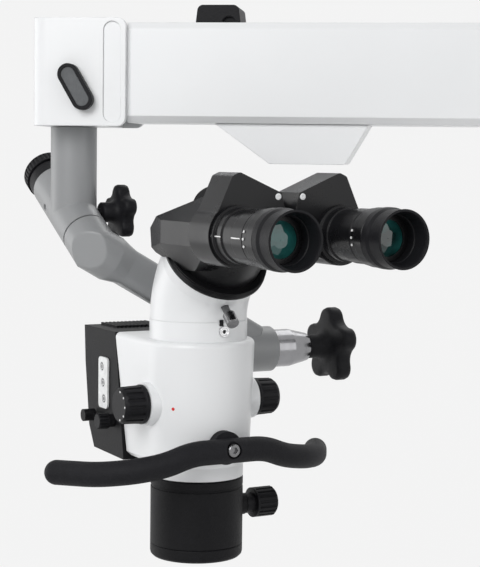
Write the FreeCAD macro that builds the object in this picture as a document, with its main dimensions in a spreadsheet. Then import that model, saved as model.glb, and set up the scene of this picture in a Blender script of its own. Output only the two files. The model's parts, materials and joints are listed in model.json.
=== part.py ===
import FreeCAD, Part

import math
import os

import Sketcher
from FreeCAD import Placement, Rotation, Vector

# Ceiling arm and head of a binocular surgical microscope, millimetres.
# The origin is the middle of the objective's front ring. +Z is up, -Y points to the user and
# +X to the user's right. The spring arm is turned by ArmYaw against the head.

SIZES = [
    # Head: heights above the objective's front ring
    ("SeamLevel", 161.0, "joint between body collar and neck"),
    ("ShoulderLevel", 148.0, "top of the body below its collar"),
    ("BodyFootLevel", 64.0, "bottom of the body's full outline"),
    ("ObjectiveTop", 55.0, "top of the black objective housing"),
    ("BodyRadius", 38.2, "round front of the body, also half its width"),
    ("BodyDraft", 2.0, "taper of the body's sides in degrees"),
    ("BodyBack", 51.0, "rear edge of the body at shoulder level"),
    ("BodyBackLean", 9.5, "lean of the body's rear face in degrees"),
    ("BodyNotch", 40.0, "rear of the body beside the tilt lug"),
    ("BodyCavity", 30.5, "radius of the hollow round the magnification drum"),
    ("CollarRadius", 33.0, "collar under the seam"),
    ("LightPath", 25.0, "radius of the free light path"),
    ("WallThickness", 3.0, "wall of the castings"),
    ("SeatGap", 0.2, "gap between parts that only meet"),
    ("RunningGap", 0.05, "radial clearance of a turning shaft"),
    # Neck and binocular
    ("NeckRadius", 32.7, "neck at the seam"),
    ("NeckLean", 47.0, "lean of the binocular seat in degrees"),
    ("SeatForward", 22.3, "middle of the binocular seat, towards the user"),
    ("SeatLevel", 202.4, "middle of the binocular seat, height"),
    ("DiskRadius", 35.5, "dovetail disk"),
    ("DiskThickness", 6.0, "dovetail disk"),
    ("HousingHalfWidth", 44.0, "binocular housing, half its width"),
    ("HousingFront", 93.7, "front face of the binocular housing"),
    ("EyeLevel", 222.8, "height of the eyepiece axes"),
    ("EyeSpacing", 73.0, "distance between the eyepiece axes"),
    ("HingeSpacing", 24.0, "distance between the prism box hinges"),
    ("BoxFront", 120.0, "front faces of the prism boxes"),
    ("BoxTop", 260.6, "top corner of the prism boxes"),
    ("BoxRound", 19.5, "round of the prism box below the eyepiece"),
    ("BoxHingeRound", 11.2, "round of the prism box at its hinge"),
    ("TubeRadius", 16.8, "eye tube"),
    ("TubeLength", 36.0, "thick part of the eye tube"),
    ("NoseRadius", 14.0, "thin end of the eye tube"),
    ("NoseLength", 16.0, "thin end of the eye tube"),
    ("RingRadius", 18.0, "diopter ring"),
    ("RingLength", 14.0, "diopter ring"),
    ("CupRadius", 17.8, "eyecup at its rim"),
    ("CupLength", 18.0, "eyecup"),
    ("CupTravel", 6.0, "travel of the eyecup"),
    ("EyeLensRadius", 11.0, "eye lens"),
    # Magnification changer
    ("DrumLevel", 105.0, "height of the magnification shaft"),
    ("DrumRadius", 24.0, "magnification drum"),
    ("DrumLength", 36.0, "magnification drum"),
    ("DrumShaftRadius", 6.0, "magnification shaft"),
    ("MagKnobRadius", 13.2, "magnification knob"),
    ("MagKnobLength", 17.5, "magnification knob"),
    ("MagKnobReach", 58.5, "outer face of the magnification knob from the middle"),
    ("MagRibs", 16, "ribs of a magnification knob"),
    # Objective
    ("ObjectiveRadius", 31.4, "objective housing"),
    ("ObjectiveBore", 27.0, "bore of the objective housing"),
    ("FrontRingHeight", 9.0, "ring at the objective's front"),
    ("FrontBore", 27.5, "bore of the ring at the objective's front"),
    ("CellRadius", 26.9, "sliding cell of the objective lens"),
    ("CellLevel", 14.0, "underside of the objective cell"),
    ("CellHeight", 12.0, "objective cell"),
    ("FocusLevel", 31.0, "height of the focus knob's axis"),
    ("FocusRadius", 10.3, "focus knob"),
    ("FocusReach", 59.4, "outer face of the focus knob"),
    ("FocusRibs", 18, "ribs of the focus knob"),
    # Lamp housing
    ("LampLeft", 38.0, "left face of the lamp housing"),
    ("LampRight", 12.0, "right face of the lamp housing"),
    ("LampBack", 105.0, "rear face of the lamp housing at its top"),
    ("LampFins", 12, "cooling fins on the lamp housing"),
    ("KeypadBack", 69.0, "middle of the keypad from the optical axis"),
    ("KeypadLevel", 110.6, "middle button of the keypad, height"),
    ("ButtonPitch", 11.2, "distance between buttons"),
    ("ButtonRadius", 2.8, "button"),
    ("ButtonTravel", 0.8, "travel of a button"),
    ("FilterBack", 54.0, "filter knob axis behind the optical axis"),
    ("FilterLevel", 86.0, "filter knob axis, height"),
    ("FilterKnobRadius", 5.6, "filter knob"),
    ("FilterKnobReach", 50.4, "outer face of the filter knob"),
    ("FilterRibs", 14, "ribs of the filter knob"),
    ("LeverLength", 29.0, "iris lever from its axis to its pin"),
    # Handle
    ("HandleLevel", 79.2, "middle of the handle at its clamp"),
    ("HandleForward", 46.0, "middle of the handle at its clamp"),
    ("HandleRadius", 8.2, "handle bar"),
    ("HandleReach", 99.0, "handle end from the middle"),
    ("HandleBack", 8.0, "handle end behind the optical axis"),
    ("HandleDrop", 16.7, "handle end below its clamp"),
    # Tilt joint and link arm
    ("TiltBack", 58.0, "tilt axis behind the optical axis"),
    ("TiltLevel", 130.0, "tilt axis, height"),
    ("TiltShaftRadius", 8.0, "tilt shaft"),
    ("LugRadius", 15.5, "tilt lug on the body"),
    ("LugStart", 12.5, "left face of the tilt lug"),
    ("LugEnd", 25.5, "right face of the tilt lug"),
    ("BossStart", 26.0, "left face of the link arm's boss"),
    ("BossEnd", 89.0, "right face of the link arm's boss"),
    ("BossRadius", 16.5, "boss of the link arm"),
    ("SleeveRadius", 13.8, "clamp sleeve"),
    ("SleeveTipRadius", 10.5, "clamp sleeve at its outer end"),
    ("SleeveLength", 29.5, "clamp sleeve"),
    ("StarRadius", 27.0, "large star knob"),
    ("StarThickness", 15.5, "large star knob"),
    ("StarHubRadius", 10.0, "hub of the large star knob"),
    ("StarHubLength", 14.0, "hub of the large star knob"),
    ("BarrelRadius", 16.4, "diagonal barrel of the swivel casting"),
    ("BarrelLean", 30.0, "slope of the diagonal barrel in degrees"),
    ("BarrelFront", 25.0, "front end of the barrel from the tube's axis"),
    ("BarrelRear", 40.0, "rear end of the barrel from the tube's axis"),
    ("BarrelLevel", 227.1, "height where barrel and tube axes meet"),
    ("SpindleRadius", 9.0, "spindle of the link arm"),
    ("LinkReach", 43.5, "corner of the link arm along the barrel's axis"),
    ("LinkEndX", 72.0, "end of the link arm's bar, to the right"),
    ("LinkEndLevel", 136.5, "end of the link arm's bar, height"),
    ("LinkHeight", 26.0, "bar of the link arm"),
    ("LinkThickness", 24.0, "bar of the link arm"),
    ("MitreInset", 10.5, "flat face of the elbow from its corner"),
    ("SmallStarRadius", 18.0, "small star knob"),
    ("SmallStarBack", 87.0, "small star knob behind the optical axis"),
    ("SmallStarLevel", 229.5, "small star knob, height"),
    ("EndKnobRadius", 17.2, "knurled knob on the barrel's rear end"),
    ("EndKnobRibs", 36, "ribs of the knurled knob"),
    # Swivel casting, end blocks and spring arm
    ("ArmYaw", 36.1, "turn of the arm against the head in degrees"),
    ("TubeAside", 50.8, "swivel axis to the left of the optical axis"),
    ("TubeBack", 95.9, "swivel axis behind the optical axis"),
    ("SwivelTubeRadius", 16.25, "vertical tube"),
    ("SwivelShaftRadius", 11.0, "swivel shaft in the end block"),
    ("SwivelShaftLength", 48.0, "swivel shaft in the end block"),
    ("BushWall", 2.0, "wall of a bearing bush"),
    ("ArmLevel", 326.5, "middle of the arm, height"),
    ("BlockHeight", 73.4, "end block"),
    ("BlockDepth", 72.0, "end block"),
    ("BlockBack", 22.5, "end block beyond the swivel axis"),
    ("BlockReach", 44.0, "end block towards the arm"),
    ("PivotReach", 31.8, "arm pivot from the swivel axis"),
    ("PivotRadius", 6.0, "pivot pins of the arm"),
    ("ArmLength", 420.0, "arm between its pivots"),
    ("ArmHeight", 68.0, "arm cover"),
    ("ArmDepth", 62.0, "arm cover"),
    ("ArmBevel", 4.5, "bevelled long edges of the arm cover"),
    ("CoverStart", 11.8, "arm cover's end beyond a pivot"),
    ("SparHeight", 20.0, "spar inside the arm"),
    ("SparThickness", 20.0, "spar inside the arm"),
    ("RodOffset", 16.0, "tie rod below the spar's pivots"),
    ("RodSide", 21.0, "tie rod beside the arm's middle"),
    ("RodHeight", 11.0, "tie rod"),
    ("RodThickness", 6.0, "tie rod"),
    ("RodPinRadius", 3.0, "pins of the tie rod"),
    ("StrutRadius", 8.0, "gas strut inside the arm"),
    ("BellyStart", 72.0, "belly cover from the front pivot"),
    ("BellyLength", 105.0, "belly cover along the arm"),
    ("BellyDrop", 27.0, "belly cover below the arm"),
    ("BellyDepth", 48.0, "belly cover across the arm"),
    ("CapStart", 57.0, "top cap from the front pivot"),
    ("CapLength", 31.0, "top cap along the arm"),
    ("CapDepth", 34.0, "top cap across the arm"),
    ("CapHeight", 12.8, "top cap"),
    ("LeverKnobLength", 34.0, "lock lever"),
    ("LeverKnobWidth", 14.5, "lock lever"),
    ("LeverLean", 30.0, "lean of the lock lever in degrees"),
    ("SpigotReach", 40.0, "stand spigot beyond the rear pivot"),
    ("SpigotRadius", 15.0, "stand spigot"),
    ("SpigotLength", 60.0, "free length of the stand spigot"),
    ("JournalRadius", 13.0, "spigot journal inside the rear block"),
]

doc = FreeCAD.newDocument("surgical_microscope")
sheet = doc.addObject("Spreadsheet::Sheet", "Sizes")


class Size:
    """A length or angle that knows its number and the sheet formula that gives it."""

    def __init__(self, value, formula):
        self.value = value
        self.formula = formula

    def joined(self, other, sign, value):
        return Size(value, f"({self.formula} {sign} {as_size(other).formula})")

    def __add__(self, other):
        return self.joined(other, "+", self.value + as_size(other).value)

    def __sub__(self, other):
        return self.joined(other, "-", self.value - as_size(other).value)

    def __mul__(self, other):
        return self.joined(other, "*", self.value * as_size(other).value)

    def __truediv__(self, other):
        return self.joined(other, "/", self.value / as_size(other).value)

    def __radd__(self, other):
        return as_size(other) + self

    def __rsub__(self, other):
        return as_size(other) - self

    def __rmul__(self, other):
        return as_size(other) * self

    def __neg__(self):
        return Size(-self.value, f"(0 - {self.formula})")


def as_size(number):
    if isinstance(number, Size):
        return number
    return Size(float(number), repr(float(number)))


def sine(angle):
    return Size(math.sin(math.radians(angle.value)), f"sin({angle.formula} * 1deg)")


def cosine(angle):
    return Size(math.cos(math.radians(angle.value)), f"cos({angle.formula} * 1deg)")


class Sheet:
    """The driving sizes by name."""


S = Sheet()
for row, (alias, value, meaning) in enumerate(SIZES, start=1):
    sheet.set(f"A{row}", meaning)
    sheet.set(f"B{row}", str(value))
    sheet.setAlias(f"B{row}", alias)
    setattr(S, alias, Size(float(value), f"Sizes.{alias}"))
doc.recompute()

# Directions: each turns a piece's own Z, or its X, Y and Z, into the model's frame.
UP = Rotation()
DOWN = Rotation(Vector(1, 0, 0), 180)
TO_RIGHT = Rotation(Vector(0, 1, 0), 90)
TO_LEFT = Rotation(Vector(0, 1, 0), -90)
TO_USER = Rotation(Vector(1, 0, 0), 90)
SIDE_VIEW = Rotation(Vector(1, 1, 1), 120)
ARM_TURN = Rotation(Vector(0, 0, 1), -S.ArmYaw.value)
SEAT_TURN = Rotation(Vector(1, 0, 0), S.NeckLean.value)
BARREL_TURN = Rotation(Vector(1, 0, 0), 90 + S.BarrelLean.value)

NODES = {}


def node(name, item):
    """Names a finished piece."""
    item.Label = name
    NODES[name] = item
    return item


def bind(item, prop, size):
    size = as_size(size)
    setattr(item, prop, size.value)
    item.setExpression(prop, size.formula)


def place(item, at=(0, 0, 0), turn=UP):
    """Moves a piece to a bound place."""
    at = [as_size(value) for value in at]
    item.Placement = Placement(Vector(*[value.value for value in at]), turn)
    for axis, value in zip("xyz", at):
        item.setExpression(f"Placement.Base.{axis}", value.formula)
    return item


def cylinder(radius, length, at=(0, 0, 0), turn=UP):
    item = doc.addObject("Part::Cylinder", "cylinder")
    bind(item, "Radius", radius)
    bind(item, "Height", length)
    return place(item, at, turn)


def cone(radius, end_radius, length, at=(0, 0, 0), turn=UP):
    item = doc.addObject("Part::Cone", "cone")
    bind(item, "Radius1", radius)
    bind(item, "Radius2", end_radius)
    bind(item, "Height", length)
    return place(item, at, turn)


def box(length, width, height, at=(0, 0, 0), turn=UP):
    item = doc.addObject("Part::Box", "box")
    bind(item, "Length", length)
    bind(item, "Width", width)
    bind(item, "Height", height)
    return place(item, at, turn)


def fuse(*items):
    item = doc.addObject("Part::MultiFuse", "fuse")
    item.Shapes = list(items)
    item.Refine = True
    return item


def together(*items):
    """Several cutting pieces as one."""
    item = doc.addObject("Part::MultiFuse", "tools")
    item.Shapes = list(items)
    item.Refine = False
    return item


def cut(base, *tools):
    item = doc.addObject("Part::Cut", "cut")
    item.Base = base
    item.Tool = tools[0] if len(tools) == 1 else together(*tools)
    item.Refine = True
    return item


def group(*items):
    item = doc.addObject("Part::Compound", "group")
    item.Links = list(items)
    return item


def new_body(name):
    return doc.addObject("PartDesign::Body", name)


def origin_plane(body, role):
    return next(item for item in body.Origin.OriginFeatures if item.Role == role)


def sketch_on(body, role, points):
    """A closed outline of straight runs whose corners are bound to sizes."""
    sketch = body.newObject("Sketcher::SketchObject", "outline")
    sketch.AttachmentSupport = [(origin_plane(body, role), "")]
    sketch.MapMode = "FlatFace"
    corners = [(as_size(x), as_size(y)) for x, y in points]
    count = len(corners)
    for i in range(count):
        here = Vector(corners[i][0].value, corners[i][1].value, 0)
        there = corners[(i + 1) % count]
        end = Vector(there[0].value, there[1].value, 0)
        sketch.addGeometry(Part.LineSegment(here, end), False)
    for i in range(count):
        sketch.addConstraint(Sketcher.Constraint("Coincident", i, 2, (i + 1) % count, 1))
    for i in range(count):
        for kind, size in zip(("DistanceX", "DistanceY"), corners[i]):
            number = sketch.addConstraint(Sketcher.Constraint(kind, -1, 1, i, 1, size.value))
            sketch.setExpression(f"Constraints[{number}]", size.formula)
    return sketch


def turned(name, profile, at=(0, 0, 0), turn=UP):
    """A piece made on the lathe: (radius, distance along the axis) points."""
    body = new_body(name)
    feature = body.newObject("PartDesign::Revolution", "turned")
    feature.Profile = sketch_on(body, "XZ_Plane", profile)
    feature.ReferenceAxis = (feature.Profile[0], ["V_Axis"])
    feature.Angle = 360
    return place(body, at, turn)


def extruded(name, outline, length, at=(0, 0, 0), turn=UP, draft=None):
    """An outline in the piece's own XY plane, extruded along its own Z."""
    body = new_body(name)
    feature = body.newObject("PartDesign::Pad", "pad")
    feature.Profile = sketch_on(body, "XY_Plane", outline)
    bind(feature, "Length", length)
    if draft is not None:
        bind(feature, "TaperAngle", draft)
    return place(body, at, turn)


def edges_along(shape, direction, test=None):
    """Names of the straight edges along a direction whose middles pass a test."""
    names = []
    for number, edge in enumerate(shape.Edges, start=1):
        if edge.Curve.TypeId != "Part::GeomLine":
            continue
        way = edge.lastVertex().Point - edge.firstVertex().Point
        if way.cross(direction).Length > 1e-6 * way.Length:
            continue
        middle = edge.valueAt((edge.FirstParameter + edge.LastParameter) / 2)
        if test is None or test(middle):
            names.append(f"Edge{number}")
    return names


def dress(body, kind, size_name, size, direction, test=None):
    """Adds a fillet or a chamfer to the chosen straight edges of a body's last feature."""
    doc.recompute()
    tip = body.Tip
    names = edges_along(tip.Shape, direction, test)
    feature = body.newObject(f"PartDesign::{kind}", kind.lower())
    feature.Base = (tip, names)
    bind(feature, size_name, size)
    body.Tip = feature
    return body


def rounded(body, radius, direction=Vector(0, 0, 1), test=None):
    return dress(body, "Fillet", "Radius", radius, direction, test)


def bevelled(body, size, direction=Vector(0, 0, 1), test=None):
    return dress(body, "Chamfer", "Size", size, direction, test)


def ribbed(body, radius, depth, width, start, length, count):
    """Cuts equal grooves along a turned piece, round its own axis."""
    doc.recompute()
    groove = body.newObject("PartDesign::Pocket", "groove")
    sketch = body.newObject("Sketcher::SketchObject", "groove_outline")
    sketch.AttachmentSupport = [(origin_plane(body, "YZ_Plane"), "")]
    sketch.MapMode = "FlatFace"
    half = width / 2
    corners = [(-half, start), (half, start), (half, start + length), (-half, start + length)]
    corners = [(as_size(x), as_size(y)) for x, y in corners]
    for i in range(4):
        here = Vector(corners[i][0].value, corners[i][1].value, 0)
        there = corners[(i + 1) % 4]
        sketch.addGeometry(Part.LineSegment(here, Vector(there[0].value, there[1].value, 0)), False)
    for i in range(4):
        sketch.addConstraint(Sketcher.Constraint("Coincident", i, 2, (i + 1) % 4, 1))
    for i in range(4):
        for kind, size in zip(("DistanceX", "DistanceY"), corners[i]):
            number = sketch.addConstraint(Sketcher.Constraint(kind, -1, 1, i, 1, size.value))
            sketch.setExpression(f"Constraints[{number}]", size.formula)
    inner = radius - depth
    sketch.AttachmentOffset = Placement(Vector(0, 0, inner.value), Rotation())
    sketch.setExpression("AttachmentOffset.Base.z", inner.formula)
    groove.Profile = sketch
    groove.Reversed = True
    bind(groove, "Length", depth * 3)
    body.Tip = groove
    doc.recompute()
    pattern = body.newObject("PartDesign::PolarPattern", "grooves")
    pattern.Originals = [groove]
    pattern.Axis = (sketch_axis(body), [""])
    pattern.Angle = 360
    pattern.Occurrences = int(count.value)
    pattern.setExpression("Occurrences", count.formula)
    body.Tip = pattern
    return body


def sketch_axis(body):
    return next(item for item in body.Origin.OriginFeatures if item.Role == "Z_Axis")


def arm_at(along, across, level):
    """A place given along and across the arm from the swivel axis."""
    c = cosine(S.ArmYaw)
    s = sine(S.ArmYaw)
    along = as_size(along)
    across = as_size(across)
    return (c * along + s * across - S.TubeAside, c * across - s * along + S.TubeBack, level)


def barrel_at(along):
    """A place on the diagonal barrel's axis, counted forward from the swivel axis."""
    along = as_size(along)
    return (-S.TubeAside, S.TubeBack - cosine(S.BarrelLean) * along,
            S.BarrelLevel - sine(S.BarrelLean) * along)


def seat_at(rise):
    """A place on the axis of the binocular seat, counted outward from the seat."""
    rise = as_size(rise)
    return (0, -S.SeatForward - sine(S.NeckLean) * rise, S.SeatLevel + cosine(S.NeckLean) * rise)


PIVOT_REAR = S.PivotReach + S.ArmLength
SPIGOT_X = PIVOT_REAR + S.SpigotReach
ROD_LEVEL = S.ArmLevel - S.RodOffset


def fork_block(name, start, reach, cavity, top_end, bottom_end, mirrored):
    """An end block: a solid swivel part and two cheeks that hold the arm's pivots."""
    sign = -1 if mirrored else 1
    half = S.BlockHeight / 2
    low = as_size(start)
    high = as_size(reach)
    outline = [(low, -half), (high, -half), (high, half), (low, half)]
    body = extruded(name, outline, S.BlockDepth,
                    arm_at(0, S.BlockDepth / 2, S.ArmLevel), ARM_TURN * TO_USER)
    free = (lambda p: p.x > reach.value - 1) if not mirrored else (lambda p: p.x < start.value + 1)
    bevel = (lambda p: p.x < start.value + 1) if not mirrored else (lambda p: p.x > reach.value - 1)
    rounded(body, 6, Vector(0, 0, 1), free)
    rounded(body, 12, Vector(0, 1, 0), bevel)
    gap = S.ArmDepth + S.SeatGap * 3
    open_end = high if not mirrored else low
    span = open_end - cavity if not mirrored else cavity - open_end
    inner = box(span + 10, gap, S.BlockHeight - 8,
                arm_at(cavity if not mirrored else open_end - 10, -gap / 2,
                       S.ArmLevel - S.BlockHeight / 2 + 4), ARM_TURN)
    tools = [inner]
    for end, base in ((top_end, S.ArmLevel), (bottom_end, S.ArmLevel - S.BlockHeight)):
        length = open_end - end if not mirrored else end - open_end
        tools.append(box(length + 10, gap, S.BlockHeight,
                         arm_at(end if not mirrored else open_end - 10, -gap / 2, base), ARM_TURN))
    return body, tools, sign


def pin_across(radius, length, along, level, across=None):
    """A pin across the arm, centred on its middle unless told otherwise."""
    middle = as_size(0) if across is None else as_size(across)
    return cylinder(radius, length, arm_at(along, middle + as_size(length) / 2, level), ARM_TURN * TO_USER)


def stadium(length, width, height, at, turn):
    """A plate with two straight sides and two round ends, its length along its own Y."""
    half = (length - width) / 2
    outline = [(-width / 2, -half), (width / 2, -half), (width / 2, half), (-width / 2, half)]
    plate = extruded("plate", outline, height)
    top = cylinder(width / 2, height, (0, half, 0))
    foot = cylinder(width / 2, height, (0, -half, 0))
    return place(fuse(plate, top, foot), at, turn)


def pivot_bores(along):
    """Blind bores in both cheeks of a block for the arm's pin and the tie rod's pin."""
    length = S.BlockDepth - 5.6
    return [pin_across(S.PivotRadius + S.RunningGap, length, along, S.ArmLevel),
            pin_across(S.RodPinRadius + S.RunningGap * 2, length, along, ROD_LEVEL)]


def make_stand_spigot():
    """The steel pin that the stand's arm holds."""
    half = S.BlockHeight / 2
    shoulder = S.SpigotRadius + 5
    profile = [(0, -S.SpigotLength - 8), (S.SpigotRadius - 1.5, -S.SpigotLength - 8),
               (S.SpigotRadius, -S.SpigotLength - 6.5), (S.SpigotRadius, -8), (shoulder, -8),
               (shoulder, 0), (S.JournalRadius, 0), (S.JournalRadius, S.BlockHeight - 12),
               (0, S.BlockHeight - 12)]
    node("stand_spigot", turned("spigot", profile,
                                arm_at(SPIGOT_X, 0, S.ArmLevel - half - S.SeatGap)))


def make_rear_block():
    """The white block that turns on the stand spigot."""
    start = PIVOT_REAR - (S.BlockReach - S.PivotReach)
    end = SPIGOT_X + S.BlockBack
    cavity = PIVOT_REAR + 17.8
    body, tools, sign = fork_block("rear", start, end, cavity, PIVOT_REAR + 2.8, PIVOT_REAR + 12.3, True)
    half = S.BlockHeight / 2
    bore = cylinder(S.JournalRadius + S.RunningGap, S.BlockHeight - 9,
                    arm_at(SPIGOT_X, 0, S.ArmLevel - half - 2), UP)
    node("rear_block", cut(cut(body, *tools), bore, *pivot_bores(PIVOT_REAR)))


def make_front_block():
    """The white end block with its swivel bore, arm cheeks and shallow oval recess."""
    body, tools, sign = fork_block("front", -S.BlockBack, S.BlockReach, S.PivotReach - 17.8,
                                   S.PivotReach - 12.3, S.PivotReach - 2.8, False)
    half = S.BlockHeight / 2
    bore = cylinder(S.SwivelShaftRadius + S.RunningGap, S.SwivelShaftLength + 4,
                    arm_at(0, 0, S.ArmLevel - half - 2))
    recess = stadium(S.BlockHeight - 5, as_size(12), as_size(3),
                     arm_at(S.PivotReach + 2.7, S.SeatGap * 0 - S.BlockDepth / 2 + 1.2, S.ArmLevel),
                     ARM_TURN * TO_USER)
    lever_bore = cylinder(3.5, 14, arm_at(10.5, 13 - S.BlockDepth / 2, S.ArmLevel - 10.5),
                          ARM_TURN * TO_USER)
    bores = [bore, recess, lever_bore, *pivot_bores(S.PivotReach)]
    node("front_block", cut(cut(body, *tools), *bores))


def make_lock_lever():
    """The black lever with a grey inset that locks the swivel."""
    lean = ARM_TURN * TO_USER * Rotation(Vector(0, 0, 1), S.LeverLean.value)
    front = -S.BlockDepth / 2
    level = S.ArmLevel - 10.5
    plate = stadium(S.LeverKnobLength, S.LeverKnobWidth, as_size(6),
                    arm_at(10.5, front - 1.5, level), lean)
    shaft = cylinder(3.45, 12.5, arm_at(10.5, front + 11, level), ARM_TURN * TO_USER)
    hollow = stadium(S.LeverKnobLength - 5, S.LeverKnobWidth - 5, as_size(3),
                     arm_at(10.5, front - 6.3, level), lean)
    node("lock_lever", cut(fuse(plate, shaft), hollow))
    node("lock_lever_inset", stadium(S.LeverKnobLength - 5, S.LeverKnobWidth - 5, as_size(0.8),
                                     arm_at(10.5, front - 6.3, level), lean))


def make_pivot_pins():
    """Steel pins of the arm and of its tie rod."""
    length = S.BlockDepth - 6
    node("arm_pivot_pins", group(pin_across(S.PivotRadius, length, S.PivotReach, S.ArmLevel),
                                 pin_across(S.PivotRadius, length, PIVOT_REAR, S.ArmLevel)))
    node("rod_pins", group(pin_across(S.RodPinRadius, length, S.PivotReach, ROD_LEVEL),
                           pin_across(S.RodPinRadius, length, PIVOT_REAR, ROD_LEVEL)))


def make_arm_cover():
    """The long white cover of the spring arm, bevelled along its edges."""
    half = S.ArmDepth / 2
    tall = S.ArmHeight / 2
    outline = [(-half, -tall), (half, -tall), (half, tall), (-half, tall)]
    length = S.ArmLength - S.CoverStart * 2
    turn = ARM_TURN * SIDE_VIEW
    start = arm_at(S.PivotReach + S.CoverStart, 0, S.ArmLevel)
    outer = bevelled(extruded("cover", outline, length, start, turn), S.ArmBevel)
    wall = S.WallThickness
    inside = [(-half + wall, -tall + wall), (half - wall, -tall + wall),
              (half - wall, tall - wall), (-half + wall, tall - wall)]
    low = arm_at(S.PivotReach + S.CoverStart - 5, 0, S.ArmLevel)
    inner = bevelled(extruded("hollow", inside, length + 10, low, turn), S.ArmBevel)
    node("arm_cover", cut(outer, inner))


def make_spar():
    """The spar that carries the load between the arm's two pivots, with its cover supports."""
    half = S.SparThickness / 2
    bar = box(S.ArmLength, S.SparThickness, S.SparHeight,
              arm_at(S.PivotReach, -half, S.ArmLevel - S.SparHeight / 2), ARM_TURN)
    front = pin_across(S.SparHeight / 2, S.SparThickness, S.PivotReach, S.ArmLevel)
    rear = pin_across(S.SparHeight / 2, S.SparThickness, PIVOT_REAR, S.ArmLevel)
    holes = [pin_across(S.PivotRadius, S.ArmDepth, S.PivotReach, S.ArmLevel),
             pin_across(S.PivotRadius, S.ArmDepth, PIVOT_REAR, S.ArmLevel)]
    inner_height = S.ArmHeight - S.WallThickness * 2
    ribs = []
    for share in (0.18, 0.82):
        ribs.append(box(8, S.SparThickness - 6, inner_height,
                        arm_at(S.PivotReach + S.ArmLength * share, 3 - half,
                               S.ArmLevel - inner_height / 2), ARM_TURN))
        ribs.append(box(16, 16, 12, arm_at(S.PivotReach + S.ArmLength * share, -half - 15.9,
                                           S.ArmLevel - 6), ARM_TURN))
    strut_line = cylinder(S.StrutRadius * 0.5, S.ArmLength,
                          arm_at(S.PivotReach, -half - 9, S.ArmLevel), ARM_TURN * TO_RIGHT)
    node("arm_spar", cut(fuse(bar, front, rear, *ribs), strut_line, *holes))


def make_gas_strut():
    """The gas strut that balances the head, cylinder and rod."""
    side = -S.SparThickness / 2 - 9
    start = S.PivotReach + S.ArmLength * 0.18 + 16.2
    end = S.PivotReach + S.ArmLength * 0.82 - 0.2
    turn = ARM_TURN * TO_RIGHT
    rod = cylinder(S.StrutRadius * 0.5, 90, arm_at(start - 10, side, S.ArmLevel), turn)
    tube = cylinder(S.StrutRadius, end - start - 78, arm_at(start + 78, side, S.ArmLevel), turn)
    hollow = cylinder(S.StrutRadius * 0.5, 14, arm_at(start + 70, side, S.ArmLevel), turn)
    node("gas_strut", group(rod, cut(tube, hollow)))


def make_tie_rod():
    """The lower rod that keeps the end blocks level."""
    across = S.RodSide - S.RodThickness / 2
    bar = box(S.ArmLength, S.RodThickness, S.RodHeight,
              arm_at(S.PivotReach, across, ROD_LEVEL - S.RodHeight / 2), ARM_TURN)
    eyes = [pin_across(S.RodHeight / 2 + 1, S.RodThickness, along, ROD_LEVEL, S.RodSide)
            for along in (S.PivotReach, PIVOT_REAR)]
    front_hole = pin_across(S.RodPinRadius, 20, S.PivotReach, ROD_LEVEL, S.RodSide)
    rear_hole = pin_across(S.RodPinRadius, 20, PIVOT_REAR, ROD_LEVEL, S.RodSide)
    node("tie_rod", cut(fuse(bar, *eyes), front_hole, rear_hole))


def make_belly_cover():
    """The tapering cover under the arm, open at its top."""
    def shape(inset, depth, rise):
        lower = S.BellyLength * 0.49
        first = S.BellyLength * 0.36
        slope = as_size(inset)
        outline = [(slope * 1.5, rise), (first + slope * 0.6, -S.BellyDrop + slope),
                   (first + lower - slope * 0.6, -S.BellyDrop + slope), (S.BellyLength - slope * 1.5, rise)]
        at = arm_at(S.PivotReach + S.BellyStart, depth / 2, S.ArmLevel - S.ArmHeight / 2 - S.SeatGap)
        return extruded("belly", outline, depth, at, ARM_TURN * TO_USER)
    outer = rounded(shape(0, S.BellyDepth, 0), 3.0, Vector(0, 0, 1), lambda p: p.y < -1)
    node("belly_cover", cut(outer, shape(2.5, S.BellyDepth - 5, 1)))


def make_top_cap():
    """The black cap on the arm, with an arched notch at its foot."""
    outline = [(0, 0), (S.CapLength, 0), (S.CapLength - 1.5, S.CapHeight), (1.5, S.CapHeight)]
    at = arm_at(S.PivotReach + S.CapStart, S.CapDepth / 2, S.ArmLevel + S.ArmHeight / 2)
    body = extruded("cap", outline, S.CapDepth, at, ARM_TURN * TO_USER)
    rounded(body, 4, Vector(0, 0, 1), lambda p: p.y > 1)
    notch = cylinder(5, 6, arm_at(S.PivotReach + S.CapStart + 23, 3 - S.CapDepth / 2,
                                  S.ArmLevel + S.ArmHeight / 2), ARM_TURN * TO_USER)
    node("top_cap", cut(body, notch))


def make_swivel_casting():
    """The grey casting: swivel shaft, vertical tube and diagonal barrel in one."""
    foot = S.ArmLevel - S.BlockHeight / 2
    height = foot - S.BarrelLevel - S.SeatGap * 2
    tube = cylinder(S.SwivelTubeRadius, height, arm_at(0, 0, S.BarrelLevel))
    shaft = cylinder(S.SwivelShaftRadius, height + S.SwivelShaftLength, arm_at(0, 0, S.BarrelLevel))
    barrel = cylinder(S.BarrelRadius, S.BarrelFront + S.BarrelRear, barrel_at(-S.BarrelRear), BARREL_TURN)
    bore = cylinder(S.SpindleRadius + S.BushWall, S.BarrelFront + S.BarrelRear + 10,
                    barrel_at(-S.BarrelRear - 5), BARREL_TURN)
    star_bore = cylinder(4, 14, (-S.TubeAside + S.BarrelRadius - 8, S.SmallStarBack, S.SmallStarLevel),
                         TO_RIGHT)
    screw_hole = cylinder(2.2, 12, (-S.TubeAside - 12, S.TubeBack + 14, S.BarrelLevel + 5.5), TO_LEFT)
    node("swivel_casting", cut(fuse(tube, shaft, barrel), bore, star_bore, screw_hole))


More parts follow.
